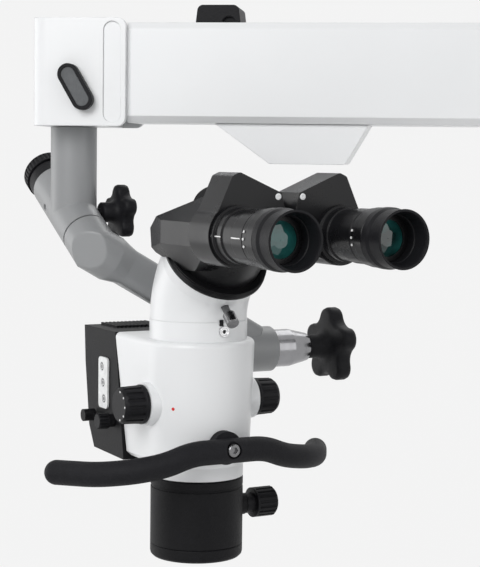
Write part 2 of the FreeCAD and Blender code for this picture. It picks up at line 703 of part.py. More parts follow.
def make_barrel_pieces():
    """Bushes of the diagonal barrel."""
    rings = []
    for start, length in ((-S.BarrelRear + 8, 16), (S.BarrelFront - 16, 16)):
        outer = cylinder(S.SpindleRadius + S.BushWall, length, barrel_at(start), BARREL_TURN)
        inner = cylinder(S.SpindleRadius + S.RunningGap, length + 2, barrel_at(start - 1), BARREL_TURN)
        rings.append(cut(outer, inner))
    node("barrel_bushes", group(*rings))


def make_end_knob():
    """The knurled knob on the barrel's rear end and its bright ring."""
    start = S.BarrelRear + S.SeatGap
    radius = S.EndKnobRadius
    stem = S.SpindleRadius + 1.8
    profile = [(0, -6), (stem, -6), (stem, 0), (radius - 1, 0), (radius - 1, 9.5), (radius - 2, 9.5),
               (radius - 2, 11), (radius, 11), (radius, 19), (radius - 1.5, 20.5), (0, 20.5)]
    back = Rotation(Vector(1, 0, 0), S.BarrelLean.value - 90)
    body = turned("knob", profile, barrel_at(-start), back)
    ribbed(body, radius, as_size(0.6), as_size(1.4), as_size(11.4), as_size(7.2), S.EndKnobRibs)
    node("barrel_end_knob", body)


def star_knob(name, radius, thickness, hub_radius, hub_length, stud_radius, stud_length, at):
    """A five-lobed clamping knob with hub and stud, its axis to the right."""
    lobe = radius * 0.30
    ring = radius * 0.70
    pieces = [cylinder(radius * 0.62, thickness, (0, 0, hub_length))]
    for k in range(5):
        angle = math.radians(90 + 72 * k)
        x = ring * round(math.cos(angle), 6)
        y = ring * round(math.sin(angle), 6)
        pieces.append(cylinder(lobe, thickness, (x, y, hub_length)))
    plate = fuse(*pieces)
    dents = []
    for k in range(5):
        angle = math.radians(126 + 72 * k)
        x = radius * round(1.02 * math.cos(angle), 6)
        y = radius * round(1.02 * math.sin(angle), 6)
        dents.append(cylinder(radius * 0.36, thickness + 2, (x, y, hub_length - 1)))
    lobes = cut(plate, *dents)
    hub = cone(hub_radius, hub_radius * 0.94, hub_length + 1)
    stud = cylinder(stud_radius, stud_length + 1, (0, 0, -stud_length))
    return node(name, place(fuse(lobes, hub, stud), at, TO_RIGHT))


def make_star_knobs():
    root = -S.TubeAside + S.BarrelRadius + 0.4
    star_knob("small_star_knob", S.SmallStarRadius, as_size(10), as_size(7.2), as_size(12.5),
              as_size(3.9), as_size(6), (root, S.SmallStarBack, S.SmallStarLevel))
    outer = S.BossEnd + S.SleeveLength + S.SeatGap * 2
    star_knob("large_star_knob", S.StarRadius, S.StarThickness, S.StarHubRadius, S.StarHubLength,
              as_size(4), as_size(5), (outer, S.TiltBack, S.TiltLevel))


def link_corner():
    return barrel_at(S.LinkReach)


def make_link_arm():
    """The grey elbow that carries the head: spigot end, straight bar and tilt boss."""
    x, y, z = [as_size(value) for value in link_corner()]
    corner = Vector(x.value, y.value, z.value)
    end = Vector(S.LinkEndX.value, S.TiltBack.value, S.LinkEndLevel.value)
    incoming = BARREL_TURN.multVec(Vector(0, 0, 1))
    outgoing = (end - corner).normalize()
    face = (incoming - outgoing).normalize()
    stub = Part.makeCylinder(S.BarrelRadius.value, S.LinkReach.value - S.BarrelFront.value + 30,
                             corner - incoming * (S.LinkReach.value - S.BarrelFront.value - 0.4), incoming)
    half = S.LinkHeight.value / 2
    deep = S.LinkThickness.value / 2
    up = Vector(0, 1, 0).cross(outgoing) * -1
    if up.z < 0:
        up = up * -1
    across = Vector(0, 1, 0)
    start = corner - outgoing * 30
    points = [start + across * a + up * b for a, b in
              ((-deep, -half), (deep, -half), (deep, half), (-deep, half), (-deep, -half))]
    bar = Part.Face(Part.makePolygon(points)).extrude(outgoing * ((end - start).Length))
    edges = [edge for edge in bar.Edges
             if (edge.lastVertex().Point - edge.firstVertex().Point).cross(outgoing).Length < 1e-6]
    bar = bar.makeFillet(7, edges)
    boss = Part.makeCylinder(S.BossRadius.value, S.BossEnd.value - S.BossStart.value,
                             Vector(S.BossStart.value, S.TiltBack.value, S.TiltLevel.value), Vector(1, 0, 0))
    reach = 80
    keep = Part.makeBox(reach * 2, reach * 2, reach * 2, Vector(-reach, -reach, 0))
    keep.Placement = Placement(corner + face * S.MitreInset.value, Rotation(Vector(0, 0, 1), face))
    back = Part.makeBox(reach * 2, reach * 2, reach * 2, Vector(-reach, -reach, -reach * 2))
    behind = corner - outgoing * (S.BarrelRadius.value)
    back.Placement = Placement(behind, Rotation(Vector(0, 0, 1), outgoing))
    solid = stub.fuse(bar.cut(back)).cut(keep).fuse(boss)
    shaft = Part.makeCylinder(S.TiltShaftRadius.value + S.BushWall.value, 120,
                              Vector(S.BossStart.value - 5, S.TiltBack.value, S.TiltLevel.value), Vector(1, 0, 0))
    solid = solid.cut(shaft).removeSplitter()
    item = doc.addObject("Part::Feature", "link")
    item.Shape = solid
    spindle = cylinder(S.SpindleRadius, S.BarrelFront + S.BarrelRear - 2, barrel_at(7 - S.BarrelRear),
                       BARREL_TURN)
    node("link_arm", fuse(item, spindle))


def make_tilt_joint():
    """Shaft, bushes and clamp sleeve of the tilt joint."""
    level = (S.TiltBack, S.TiltLevel)
    shaft_length = S.BossEnd + S.SleeveLength - 6 - S.LugStart
    node("tilt_shaft", cylinder(S.TiltShaftRadius, shaft_length, (S.LugStart, *level), TO_RIGHT))
    rings = []
    for start in (S.BossStart + 1, S.BossEnd - 21):
        outer = cylinder(S.TiltShaftRadius + S.BushWall, 18, (start, *level), TO_RIGHT)
        inner = cylinder(S.TiltShaftRadius + S.RunningGap, 20, (start - 1, *level), TO_RIGHT)
        rings.append(cut(outer, inner))
    node("tilt_bushes", group(*rings))
    straight = S.SleeveLength * 0.5
    inner = S.TiltShaftRadius + S.RunningGap
    profile = [(inner, 0), (S.SleeveRadius, 0), (S.SleeveRadius, straight),
               (S.SleeveTipRadius, S.SleeveLength), (4.2, S.SleeveLength), (4.2, S.SleeveLength - 5.5),
               (inner, S.SleeveLength - 5.5)]
    node("clamp_sleeve", turned("sleeve", profile, (S.BossEnd, *level), TO_RIGHT))


def tapered_outline():
    """The body's main form: a loft between its plan at the shoulder and at the foot."""
    def plan(radius, back, level):
        wire = [Part.Arc(Vector(-radius, 0, level), Vector(0, -radius, level), Vector(radius, 0, level)).toShape(),
                Part.makeLine(Vector(radius, 0, level), Vector(radius, back, level)),
                Part.makeLine(Vector(radius, back, level), Vector(-radius, back, level)),
                Part.makeLine(Vector(-radius, back, level), Vector(-radius, 0, level))]
        return Part.Wire(wire)
    top = S.ShoulderLevel.value
    foot = S.BodyFootLevel.value
    drop = top - foot
    narrow = S.BodyRadius.value - drop * math.tan(math.radians(S.BodyDraft.value))
    lean = drop * math.tan(math.radians(S.BodyBackLean.value))
    upper = plan(S.BodyRadius.value, S.BodyBack.value, top)
    lower = plan(narrow, S.BodyBack.value - lean, foot)
    return Part.makeLoft([lower, upper], True, True)


def make_body_shell():
    """The white head casting: round front, flat sides, collar, shaft bosses and tilt lug."""
    main = tapered_outline()
    rim = [edge for edge in main.Edges
           if abs(edge.BoundBox.ZMin - S.ShoulderLevel.value) < 0.01 and edge.BoundBox.YMin < 1]
    main = main.makeFillet(3.5, rim)
    foot = [edge for edge in main.Edges
            if abs(edge.BoundBox.ZMax - S.BodyFootLevel.value) < 0.01 and edge.BoundBox.YMin < 1]
    main = main.makeChamfer(3.0, foot)
    item = doc.addObject("Part::Feature", "head_form")
    item.Shape = main
    notch = box(60, 40, 120, (S.LampRight + 0.3, S.BodyNotch, S.BodyFootLevel - 10))
    lug = cylinder(S.LugRadius, S.LugEnd - S.LugStart, (S.LugStart, S.TiltBack, S.TiltLevel), TO_RIGHT)
    web = box(S.LugEnd - S.LugStart, S.TiltBack - S.BodyNotch + 6, 22,
              (S.LugStart, S.BodyNotch - 6, S.TiltLevel - 15))
    collar = cylinder(S.CollarRadius, S.SeamLevel - S.ShoulderLevel + 5, (0, 0, S.ShoulderLevel - 5))
    skirt = cylinder(S.ObjectiveRadius, S.BodyFootLevel - S.ObjectiveTop + 4, (0, 0, S.ObjectiveTop))
    reach = S.MagKnobReach - S.MagKnobLength - S.SeatGap
    bosses = cylinder(S.MagKnobRadius + 1.2, reach * 2, (-reach, 0, S.DrumLevel), TO_RIGHT)
    solid = fuse(cut(item, notch), lug, web, collar, skirt, bosses)
    cavity = cylinder(S.BodyCavity, S.ShoulderLevel - S.BodyFootLevel - 6, (0, 0, S.BodyFootLevel + 3))
    path = cylinder(S.LightPath, 200, (0, 0, 0))
    shaft = cylinder(S.DrumShaftRadius + S.RunningGap, 120, (-60, 0, S.DrumLevel), TO_RIGHT)
    tilt = cylinder(S.TiltShaftRadius, 60, (S.LugStart, S.TiltBack, S.TiltLevel), TO_RIGHT)
    screw = cylinder(2.6, 10, (0, -S.HandleForward + 16, S.HandleLevel), TO_USER)
    key = box(2.6, 3, 6, (-1.3, -S.CollarRadius - 1, S.SeamLevel - 2.2))
    set_screw = cylinder(3.6, 6, (2, -S.CollarRadius + 3.2, S.SeamLevel - 6), TO_USER)
    node("head_body", cut(solid, cavity, path, shaft, tilt, screw, key, set_screw))


def make_collar_pieces():
    """Key, ring and set screw at the seam."""
    node("neck_key", box(2.6, 2.5, 4, (-1.3, -S.CollarRadius - 0.5, S.SeamLevel - 2.2)))
    front = -S.CollarRadius + 3.2
    ring = cut(cylinder(3.6, 4.4, (2, front, S.SeamLevel - 6), TO_USER),
               cylinder(2.5, 8, (2, front + 1, S.SeamLevel - 6), TO_USER))
    hexagon = doc.addObject("Part::Prism", "hexagon")
    hexagon.Polygon = 6
    hexagon.Circumradius = 1.4
    hexagon.Height = 5
    place(hexagon, (2, front - 2.2, S.SeamLevel - 6), TO_USER)
    screw = cylinder(2.5, 4, (2, front, S.SeamLevel - 6), TO_USER)
    node("collar_set_screw", group(ring, cut(screw, hexagon)))


def neck_form(radius, end_radius, overshoot):
    """A bent round form from the seam to the binocular seat: an arc, then a straight end."""
    lean = math.radians(S.NeckLean.value)
    rise = S.SeatLevel.value - S.SeamLevel.value
    forward = S.SeatForward.value
    bend = (rise * math.sin(lean) - forward * math.cos(lean)) / (
        math.sin(lean) ** 2 - (1 - math.cos(lean)) * math.cos(lean))
    straight = (forward - bend * (1 - math.cos(lean))) / math.sin(lean)
    foot = Vector(0, 0, S.SeamLevel.value)
    disk = Part.Face(Part.Wire([Part.Circle(foot, Vector(0, 0, 1), radius).toShape()]))
    arc = disk.revolve(foot - Vector(0, bend, 0), Vector(1, 0, 0), S.NeckLean.value)
    way = Vector(0, -math.sin(lean), math.cos(lean))
    seat = Vector(0, -forward, S.SeatLevel.value)
    join = seat - way * straight
    if abs(radius - end_radius) < 0.01:
        end = Part.makeCylinder(radius, straight, join, way)
    else:
        end = Part.makeCone(radius, end_radius, straight, join, way)
    pieces = [arc, end]
    if overshoot:
        pieces.append(Part.makeCylinder(radius, overshoot, foot - Vector(0, 0, overshoot), Vector(0, 0, 1)))
        pieces.append(Part.makeCylinder(end_radius, overshoot, seat, way))
    return pieces[0].multiFuse(pieces[1:])


def make_neck():
    """The white neck that bends towards the user, hollow for the light path."""
    outer = neck_form(S.NeckRadius.value, S.DiskRadius.value - 1.0, 0.0)
    inner = neck_form(S.LightPath.value, S.LightPath.value, 3.0)
    item = doc.addObject("Part::Feature", "neck_form")
    item.Shape = outer.cut(inner).removeSplitter()
    screw = cylinder(2.6, 14, (0, -S.NeckRadius + 2, S.SeamLevel + 16.5), Rotation(Vector(1, 0, 0), 130))
    key = box(2.6, 3, 6, (-1.3, -S.CollarRadius - 1, S.SeamLevel - 4.2))
    node("neck", cut(item, screw, key))


def make_clamp_screw():
    """The knurled thumb screw that holds the dovetail."""
    profile = [(0, 0), (2.5, 0), (2.5, 12), (4.2, 12), (4.2, 12.8), (4.2, 20), (3.6, 20.8), (0, 20.8)]
    body = turned("screw", profile, (0, -S.NeckRadius - 1.2, S.SeamLevel + 13.8), Rotation(Vector(1, 0, 0), 130))
    node("dovetail_clamp_screw", body)


def make_dovetail_disk():
    """The black disk that carries the binocular, with its dovetail groove."""
    radius = S.DiskRadius
    profile = [(S.LightPath - 2, 0.1), (radius - 0.8, 0.1), (radius, 0.9), (radius, 2.4), (radius - 1.8, 3.4),
               (radius - 1.8, 4.2), (radius - 0.6, S.DiskThickness), (S.LightPath - 2, S.DiskThickness)]
    node("dovetail_disk", turned("disk", profile, seat_at(0), SEAT_TURN))


def make_binocular_housing():
    """The black faceted housing between the dovetail disk and the prism boxes."""
    wide = S.HousingHalfWidth
    front = -S.HousingFront
    outline = [(-12, S.EyeLevel - 16), (-8.5, S.EyeLevel), (-22, S.EyeLevel + 8.5),
               (-64, S.EyeLevel + 21.5), (front, S.EyeLevel + 23), (front, S.EyeLevel - 18),
               (-72, S.EyeLevel - 18), (-52, S.EyeLevel - 26), (-34, S.EyeLevel - 26)]
    body = extruded("housing", outline, wide * 2, (-wide, 0, 0), SIDE_VIEW)
    item = body
    tools = []
    for side in (-1, 1):
        # Slanting cheeks: narrower at the rear, above and below than at the middle.
        for axis, angle, anchor in ((Vector(0, 0, 1), 8.6, (wide, -31, 0)),
                                    (Vector(0, 1, 0), 40, (wide, 0, S.EyeLevel + 6)),
                                    (Vector(0, 1, 0), -40, (wide, 0, S.EyeLevel - 9))):
            slab = doc.addObject("Part::Box", "slab")
            slab.Length = 60
            slab.Width = 200
            slab.Height = 200
            turn = Rotation(axis, angle * side)
            x, y, z = [as_size(value) for value in anchor]
            shift = Vector(0, 0, -100)
            if axis.z > 0:
                shift = Vector(0, 0, -100 + S.EyeLevel.value)
                low = Vector(0, 0, 0)
            else:
                low = Vector(0, -150, 0) + (Vector(0, 0, 0) if angle > 0 else Vector(0, 0, -200))
            offset = Vector(0 if side > 0 else -60, 0, 0)
            base = Vector(side * x.value, y.value, z.value)
            if axis.z > 0:
                slab.Placement = Placement(base + Vector(0, 0, S.EyeLevel.value - 100), turn).multiply(
                    Placement(offset, Rotation()))
            else:
                turn = Rotation(axis, -angle * side)
                slab.Placement = Placement(base, turn).multiply(Placement(offset + low, Rotation()))
            tools.append(slab)
    pedestal = cylinder(30, 34, seat_at(S.DiskThickness), SEAT_TURN)
    seat = cylinder(S.DiskRadius + 0.6, 80, seat_at(S.DiskThickness - 80), SEAT_TURN)
    front_trim = box(200, 100, 200, (-100, front - 100, 100))
    solid = cut(fuse(cut(cut(item, *tools), seat), pedestal), front_trim)
    path = cylinder(LIGHT_HOLE, 60, (-S.HingeSpacing / 2, front + 40, S.EyeLevel), TO_USER)
    path2 = cylinder(LIGHT_HOLE, 60, (S.HingeSpacing / 2, front + 40, S.EyeLevel), TO_USER)
    down = cylinder(18, 30, seat_at(S.DiskThickness - 1), SEAT_TURN)
    trunnions = []
    for side in (-1, 1):
        ring = cylinder(10, 6.3, (S.HingeSpacing / 2 * side, front + 1, S.EyeLevel), TO_USER)
        trunnions.append(ring)
    node("binocular_housing", cut(fuse(solid, *trunnions), path, path2, down))


LIGHT_HOLE = 8.0


def side_name(side):
    return "left" if side < 0 else "right"


def make_prism_box(side):
    """One swinging prism box, its prism, screw, eye tube, diopter ring and eyecup."""
    name = side_name(side)
    eye = S.EyeSpacing / 2 * side
    hinge = S.HingeSpacing / 2 * side
    level = S.EyeLevel
    front = -S.BoxFront
    back = -S.HousingFront - 0.3
    depth = S.BoxFront - S.HousingFront - 0.3
    outline = [(hinge - 10.9 * side, level), (hinge - 8.1 * side, level + 16.2), (hinge - 5.7 * side, level + 25.5),
               (eye - 1.5 * side, S.BoxTop), (eye + 3.5 * side, S.BoxTop - 2.2), (eye + 12.1 * side, level + 16.6),
               (eye + 19.3 * side, level + 3), (eye + 19.3 * side, level), (eye, level - 19.3),
               (hinge, level - 11)]
    plate = extruded("box", outline, depth, (0, back, 0), TO_USER)
    rounded(plate, 2.5, Vector(0, 0, 1), lambda p: p.y > S.BoxTop.value - 3)
    solid = fuse(plate, cylinder(S.BoxRound, depth, (eye, back, level), TO_USER),
                 cylinder(S.BoxHingeRound, depth, (hinge, back, level), TO_USER))
    socket = cylinder(10 + S.RunningGap, 6, (hinge, back + 0.5, level), TO_USER)
    width = S.EyeSpacing / 2 - S.HingeSpacing / 2 + 18
    low = hinge - 9 if side > 0 else eye - 9
    cavity = box(width, depth - 8.5, 18, (low, front + 3, level - 9))
    tube_bore = cylinder(12, 10, (eye, front + 5, level), TO_USER)
    node(f"{name}_prism_box", cut(solid, socket, cavity, tube_bore))
    glass = [(low + 1, level - 8.8), (low + width - 1, level - 8.8), (low + width - 1, level + 8.8),
             (low + 1, level + 8.8)]
    node(f"{name}_prism", extruded("prism", glass, depth - 9, (0, front + depth - 5.8, 0), TO_USER))
    make_eyepiece(name, eye, front, level)


def make_eyepiece(name, eye, front, level):
    """Eye tube with its lens, diopter ring and eyecup, pointing at the user."""
    radius = S.TubeRadius
    nose = S.NoseRadius
    long = S.TubeLength
    end = long + S.NoseLength
    bore = S.EyeLensRadius
    tube = [(bore - 1, 0), (radius + 1.4, 0), (radius + 1.4, 3), (radius, 3.6), (radius, 10), (radius - 0.8, 10.4),
            (radius - 0.8, 22.6), (radius, 23), (radius, long - 1), (radius - 0.6, long), (nose, long),
            (nose, end), (bore, end), (bore, end - 3), (bore - 1, end - 3)]
    node(f"{name}_eye_tube", turned("tube", tube, (eye, front, level), TO_USER))
    start = long + 0.3
    ring = S.RingRadius
    inner = nose + S.RunningGap
    stop = S.RingLength
    profile = [(inner, 0), (ring - 1.2, 0), (ring - 0.6, 1.0), (ring - 0.6, 5.0), (ring, 6.0), (ring, stop - 1),
               (ring - 0.8, stop), (inner, stop)]
    body = turned("ring", profile, (eye, front - start, level), TO_USER)
    node(f"{name}_diopter_ring", body)
    cup = S.CupRadius
    length = S.CupLength
    sleeve = end - start - stop - 0.3
    profile = [(inner, 0), (cup + 0.6, 0), (cup + 0.6, 4.5), (cup - 0.4, 7), (cup - 0.2, length - 1), (cup, length),
               (cup - 1.4, length), (cup - 2.0, length - 1.5), (inner + 0.6, sleeve + 6.5), (inner, sleeve + 6)]
    node(f"{name}_eyecup", turned("cup", profile, (eye, front - start - stop - 0.3, level), TO_USER))
    dome = 1.2
    lens = [(0, 0), (bore, 0), (bore, 1.4), (bore * 0.8, 1.4 + dome * 0.45), (bore * 0.45, 1.4 + dome * 0.85),
            (0, 1.4 + dome)]
    node(f"{name}_eye_lens", turned("lens", lens, (eye, front - end + 3, level), TO_USER))


def make_magnification():
    """Drum with its lenses on a shaft through the body, a ribbed knob on each end."""
    level = S.DrumLevel
    reach = S.MagKnobReach - 2
    shaft = cylinder(S.DrumShaftRadius, reach * 2, (-reach, 0, level), TO_RIGHT)
    half = S.DrumLength / 2
    drum = cylinder(S.DrumRadius, S.DrumLength, (-half, 0, level), TO_RIGHT)
    tools = []
    lenses = []
    for side in (-1, 1):
        for angle in (0, 90):
            turn = Rotation(Vector(1, 0, 0), angle)
            x = 9.5 * side
            down = turn.multVec(Vector(0, 0, -40))
            hole = cylinder(6.5, 80, (x, down.y, level + down.z), turn)
            tools.append(hole)
            for out in (-1, 1):
                way = turn.multVec(Vector(0, 0, out * 18.0 - 1.5))
                lenses.append(cylinder(6.5, 3, (x, way.y, level + way.z), turn))
    node("magnification_drum", cut(fuse(drum, shaft), *tools))
    node("drum_lenses", group(*lenses))
    for side in (-1, 1):
        radius = S.MagKnobRadius
        length = S.MagKnobLength
        bore = S.DrumShaftRadius
        profile = [(bore, 0), (radius - 0.5, 0), (radius, 0.8), (radius, 2.2), (radius - 0.4, 2.6),
                   (radius - 0.9, length - 2.4), (radius - 2.6, length), (0, length), (0, length - 2), (bore, length - 2)]
        start = (S.MagKnobReach - S.MagKnobLength) * side
        body = turned("knob", profile, (start, 0, level), TO_RIGHT if side > 0 else TO_LEFT)
        ribbed(body, radius - 0.4, as_size(1.0), as_size(2.0), as_size(3.4), length, S.MagRibs)
        node(f"{side_name(side)}_magnification_knob", body)


def make_objective():
    """Black objective housing, front ring, sliding lens cell and focus knob."""
    radius = S.ObjectiveRadius
    bore = S.ObjectiveBore
    top = S.ObjectiveTop - S.SeatGap
    foot = S.FrontRingHeight
    housing = [(bore, foot), (radius, foot), (radius, 47), (radius - 0.7, 47.4), (radius - 0.7, 48.6),
               (radius, 49), (radius, top - 1), (radius - 1, top), (bore, top)]
    body = turned("housing", housing)
    shaft = cylinder(3.05, 20, (20, 0, S.FocusLevel), TO_RIGHT)
    boss = cut(cylinder(7.5, 6, (S.ObjectiveRadius - 1.5, 0, S.FocusLevel), TO_RIGHT),
               cylinder(S.ObjectiveRadius - 2, 60, (0, 0, 0)))
    node("objective_housing", cut(fuse(body, boss), shaft))
    mouth = S.FrontBore
    ring = [(mouth, 0), (radius - 1.8, 0), (radius - 0.4, 1.4), (radius, 3), (radius, foot - 1),
            (radius - 0.8, foot - 0.1), (mouth, foot - 0.1)]
    node("objective_front_ring", turned("ring", ring))
    cell = S.CellRadius
    low = S.CellLevel
    high = low + S.CellHeight
    profile = [(cell - 3.4, low), (cell, low), (cell, high), (cell - 2, high), (cell - 2, low + 2.5),
               (cell - 3.4, low + 2.5)]
    node("objective_cell", turned("cell", profile))
    lens = [(0, low + 1.0), (cell - 8, low + 1.6), (cell - 3.6, low + 2.6), (cell - 2.1, low + 2.6),
            (cell - 2.1, low + 7.5), (0, low + 9.5)]
    node("objective_lens", turned("lens", lens))
    start = S.ObjectiveRadius + 5
    focus = S.FocusRadius
    length = S.FocusReach - start
    knob = [(0, -9), (3, -9), (3, 0), (7, 0), (7, 6), (focus, 6.6), (focus, length - 1.5), (focus - 1.5, length),
            (0, length)]
    body = turned("knob", knob, (start, 0, S.FocusLevel), TO_RIGHT)
    ribbed(body, focus, as_size(0.9), as_size(1.6), as_size(8), length, S.FocusRibs)
    node("focus_knob", body)


def make_lamp_housing():
    """The black lamp housing behind the body, finned on top and hollow inside."""
    top = S.ShoulderLevel
    lean_drop = top - S.BodyFootLevel
    back = S.LampBack

    def profile(inset):
        shrink = as_size(inset)
        lean = math.tan(math.radians(S.BodyBackLean.value))
        return [(S.BodyBack + 0.3 + shrink, top - shrink), (back - shrink, top - shrink),
                (back - 1.8 - shrink, top - 26), (back - 9 - shrink, top - 71), (back - 18 - shrink, top - 86 + shrink),
                (S.BodyBack + 0.3 + shrink - lean * 87.0, top - 87 + shrink)]
    width = S.LampLeft + S.LampRight
    outer = extruded("lamp", profile(0), width, (-S.LampLeft, 0, 0), SIDE_VIEW)
    wall = 2.4
    inner = extruded("hollow", profile(wall), width - 2 * wall, (wall - S.LampLeft, 0, 0), SIDE_VIEW)
    pieces = [cut(outer, inner)]
    pitch = (width - 13) / S.LampFins
    for k in range(int(S.LampFins.value)):
        pieces.append(box(1.5, 28, 1.9, (pitch * k - S.LampLeft + 12, back - 30, top - 0.3)))
    tools = []
    for k in (-1, 0, 1):
        tools.append(cylinder(S.ButtonRadius + 0.2, 8, (4 - S.LampLeft, S.KeypadBack + 1.7 * k,
                                                        S.KeypadLevel + S.ButtonPitch * k), TO_LEFT))
    tools.append(cylinder(2.05, 8, (4 - S.LampLeft, S.FilterBack, S.FilterLevel), TO_LEFT))
    node("lamp_housing", cut(fuse(*pieces), *tools))


def make_lamp_inside():
    """Heat sink, lamp board and filter wheel inside the lamp housing."""
    left = 3 - S.LampLeft
    base = box(4, 26, 60, (left + 12, 66, S.ShoulderLevel - 62.4))
    fins = [box(16, 1.6, 60, (left + 15.5, 66 + 4.88 * k, S.ShoulderLevel - 62.4)) for k in range(6)]
    sink = fuse(base, *fins)
    board = box(1.6, 24, 50, (left + 10.2, 67, S.ShoulderLevel - 61))
    lamp = fuse(board, cylinder(5, 2.4, (left + 10.3, 79, S.ShoulderLevel - 30), TO_LEFT))
    node("lamp_unit", group(sink, lamp))


def make_keypad():
    """White keypad strip with three buttons on the lamp housing's left face."""
    lean = Rotation(Vector(1, 0, 0), -8.6)
    face = -S.LampLeft
    outline = [(-7.6, -18), (7.6, -18), (7.6, 18), (-7.6, 18)]
    plate = extruded("plate", outline, as_size(1.4), (face - 0.1, S.KeypadBack, S.KeypadLevel),
                     TO_LEFT * Rotation(Vector(0, 0, 1), 90) * Rotation(Vector(0, 0, 1), 0))
    rounded(plate, 3.0)
    tools = []
    for k in (-1, 0, 1):
        tools.append(cylinder(S.ButtonRadius + 0.2, 6, (face + 2, S.KeypadBack + 1.7 * k,
                                                        S.KeypadLevel + S.ButtonPitch * k), TO_LEFT))
    node("keypad_plate", cut(plate, *tools))
    for k, name in ((1, "upper"), (0, "middle"), (-1, "lower")):
        button = [(0, -2.2), (S.ButtonRadius + 1, -2.2), (S.ButtonRadius + 1, -1.4), (S.ButtonRadius, -1.4),
                  (S.ButtonRadius, 3.3), (S.ButtonRadius - 0.5, 3.8), (0, 3.8)]
        node(f"{name}_button", turned("button", button, (face + 1.6 + S.ButtonTravel, S.KeypadBack + 1.7 * k,
                                                         S.KeypadLevel + S.ButtonPitch * k), TO_LEFT))


def make_filter_controls():
    """Ribbed filter knob and the iris lever on one axis."""
    face = -S.LampLeft
    start = 4.6
    length = S.FilterKnobReach - S.LampLeft
    knob = [(0, -9), (2, -9), (2, start), (S.FilterKnobRadius, start), (S.FilterKnobRadius, length - 0.8),
            (S.FilterKnobRadius - 0.8, length), (0, length)]
    body = turned("knob", knob, (face, S.FilterBack, S.FilterLevel), TO_LEFT)
    ribbed(body, S.FilterKnobRadius, as_size(0.7), as_size(1.1), as_size(start + 0.8), length, S.FilterRibs)
    node("filter_knob", body)
    hub = cylinder(4.6, 3.9, (face - 0.4, S.FilterBack, S.FilterLevel), TO_LEFT)
    rod = box(2.4, S.LeverLength, 3.0, (face - 4.3, S.FilterBack, S.FilterLevel - 1.5))
    knob_end = cylinder(4.3, 8.6, (face - 1.9, S.FilterBack + S.LeverLength, S.FilterLevel), TO_LEFT)
    bore = cylinder(2.05, 8, (face + 1, S.FilterBack, S.FilterLevel), TO_LEFT)
    node("iris_lever", cut(fuse(hub, rod, knob_end), bore))


def bent_rod(points, radius):
    """A round bar along straight runs that tangent arcs join."""
    pieces = []
    start = points[0]
    for before, here, after in zip(points, points[1:], points[2:]):
        incoming = (here - before).normalize()
        outgoing = (after - here).normalize()
        half_turn = incoming.getAngle(outgoing) / 2
        shorter = min((here - before).Length, (after - here).Length)
        bend = 0.45 * shorter / math.tan(half_turn)
        bend_start = here - incoming * 0.45 * shorter
        pieces.append(Part.makeCylinder(radius, (bend_start - start).Length, start, incoming))
        axis = incoming.cross(outgoing).normalize()
        middle = bend_start + axis.cross(incoming) * bend
        disk = Part.Face(Part.Wire([Part.Circle(bend_start, incoming, radius).toShape()]))
        pieces.append(disk.revolve(middle, axis, math.degrees(2 * half_turn)))
        start = here + outgoing * 0.45 * shorter
    last = points[-1] - start
    pieces.append(Part.makeCylinder(radius, last.Length, start, last))
    return pieces


def make_handle():
    """The curved handle bar and its clamp screw."""
    reach = S.HandleReach.value
    front = -S.HandleForward.value
    level = S.HandleLevel.value
    depth = S.HandleForward.value + S.HandleBack.value
    drop = S.HandleDrop.value
    radius = S.HandleRadius.value
    half = [(0.27, 0.01, 0.08), (0.45, 0.08, 0.5), (0.64, 0.22, 0.72), (0.83, 0.5, 0.9), (1.0, 1.0, 1.0)]
    right = [Vector(x * reach, front + y * depth, level - z * drop) for x, y, z in half]
    left = [Vector(-point.x, point.y, point.z) for point in reversed(right)]
    pieces = bent_rod(left + right, radius)
    pieces += [Part.makeSphere(radius, end) for end in (left[0], right[-1])]
    item = doc.addObject("Part::Feature", "bar")
    item.Shape = pieces[0].multiFuse(pieces[1:]).removeSplitter()
    pad = cylinder(11, 6.4, (0, -S.HandleForward + 9.5, S.HandleLevel), TO_USER)
    # The body's round front is cut out of the clamp so that the clamp seats on it.
    seat = cylinder(S.BodyRadius - 1.6, 60, (0, 0, S.HandleLevel - 30))
    hole = cylinder(2.7, 40, (0, -S.HandleForward + 20, S.HandleLevel), TO_USER)
    counter = cylinder(5.4, 10, (0, -S.HandleForward - 3.5, S.HandleLevel), TO_USER)
    node("handle_bar", cut(fuse(item, pad), seat, hole, counter))
    head = [(0, -14), (2.5, -14), (2.5, 0), (4.2, 0), (4.2, 3.6), (3.7, 4.1), (0, 4.1)]
    screw = turned("screw", head, (0, -S.HandleForward - 3.5, S.HandleLevel), TO_USER)
    hexagon = doc.addObject("Part::Prism", "hexagon")
    hexagon.Polygon = 6
    hexagon.Circumradius = 2.4
    hexagon.Height = 5
    place(hexagon, (0, -S.HandleForward - 5.6, S.HandleLevel), TO_USER)
    node("handle_screw", cut(screw, hexagon))


def check_document():
    doc.recompute()
    for item in doc.Objects:
        if "Invalid" in item.State or "Error" in item.State:
            raise RuntimeError(f"{item.Label} ({item.TypeId}) failed: {item.State}")
    for name, item in NODES.items():
        if item.Shape.isNull() or not item.Shape.isValid():
            raise RuntimeError(f"{name} has no valid shape")


def write_parts():
    os.makedirs("parts", exist_ok=True)
    for name, item in NODES.items():
        item.Shape.exportStep(f"parts/{name}.step")
        print(name, len(item.Shape.Solids), round(item.Shape.Volume, 1))


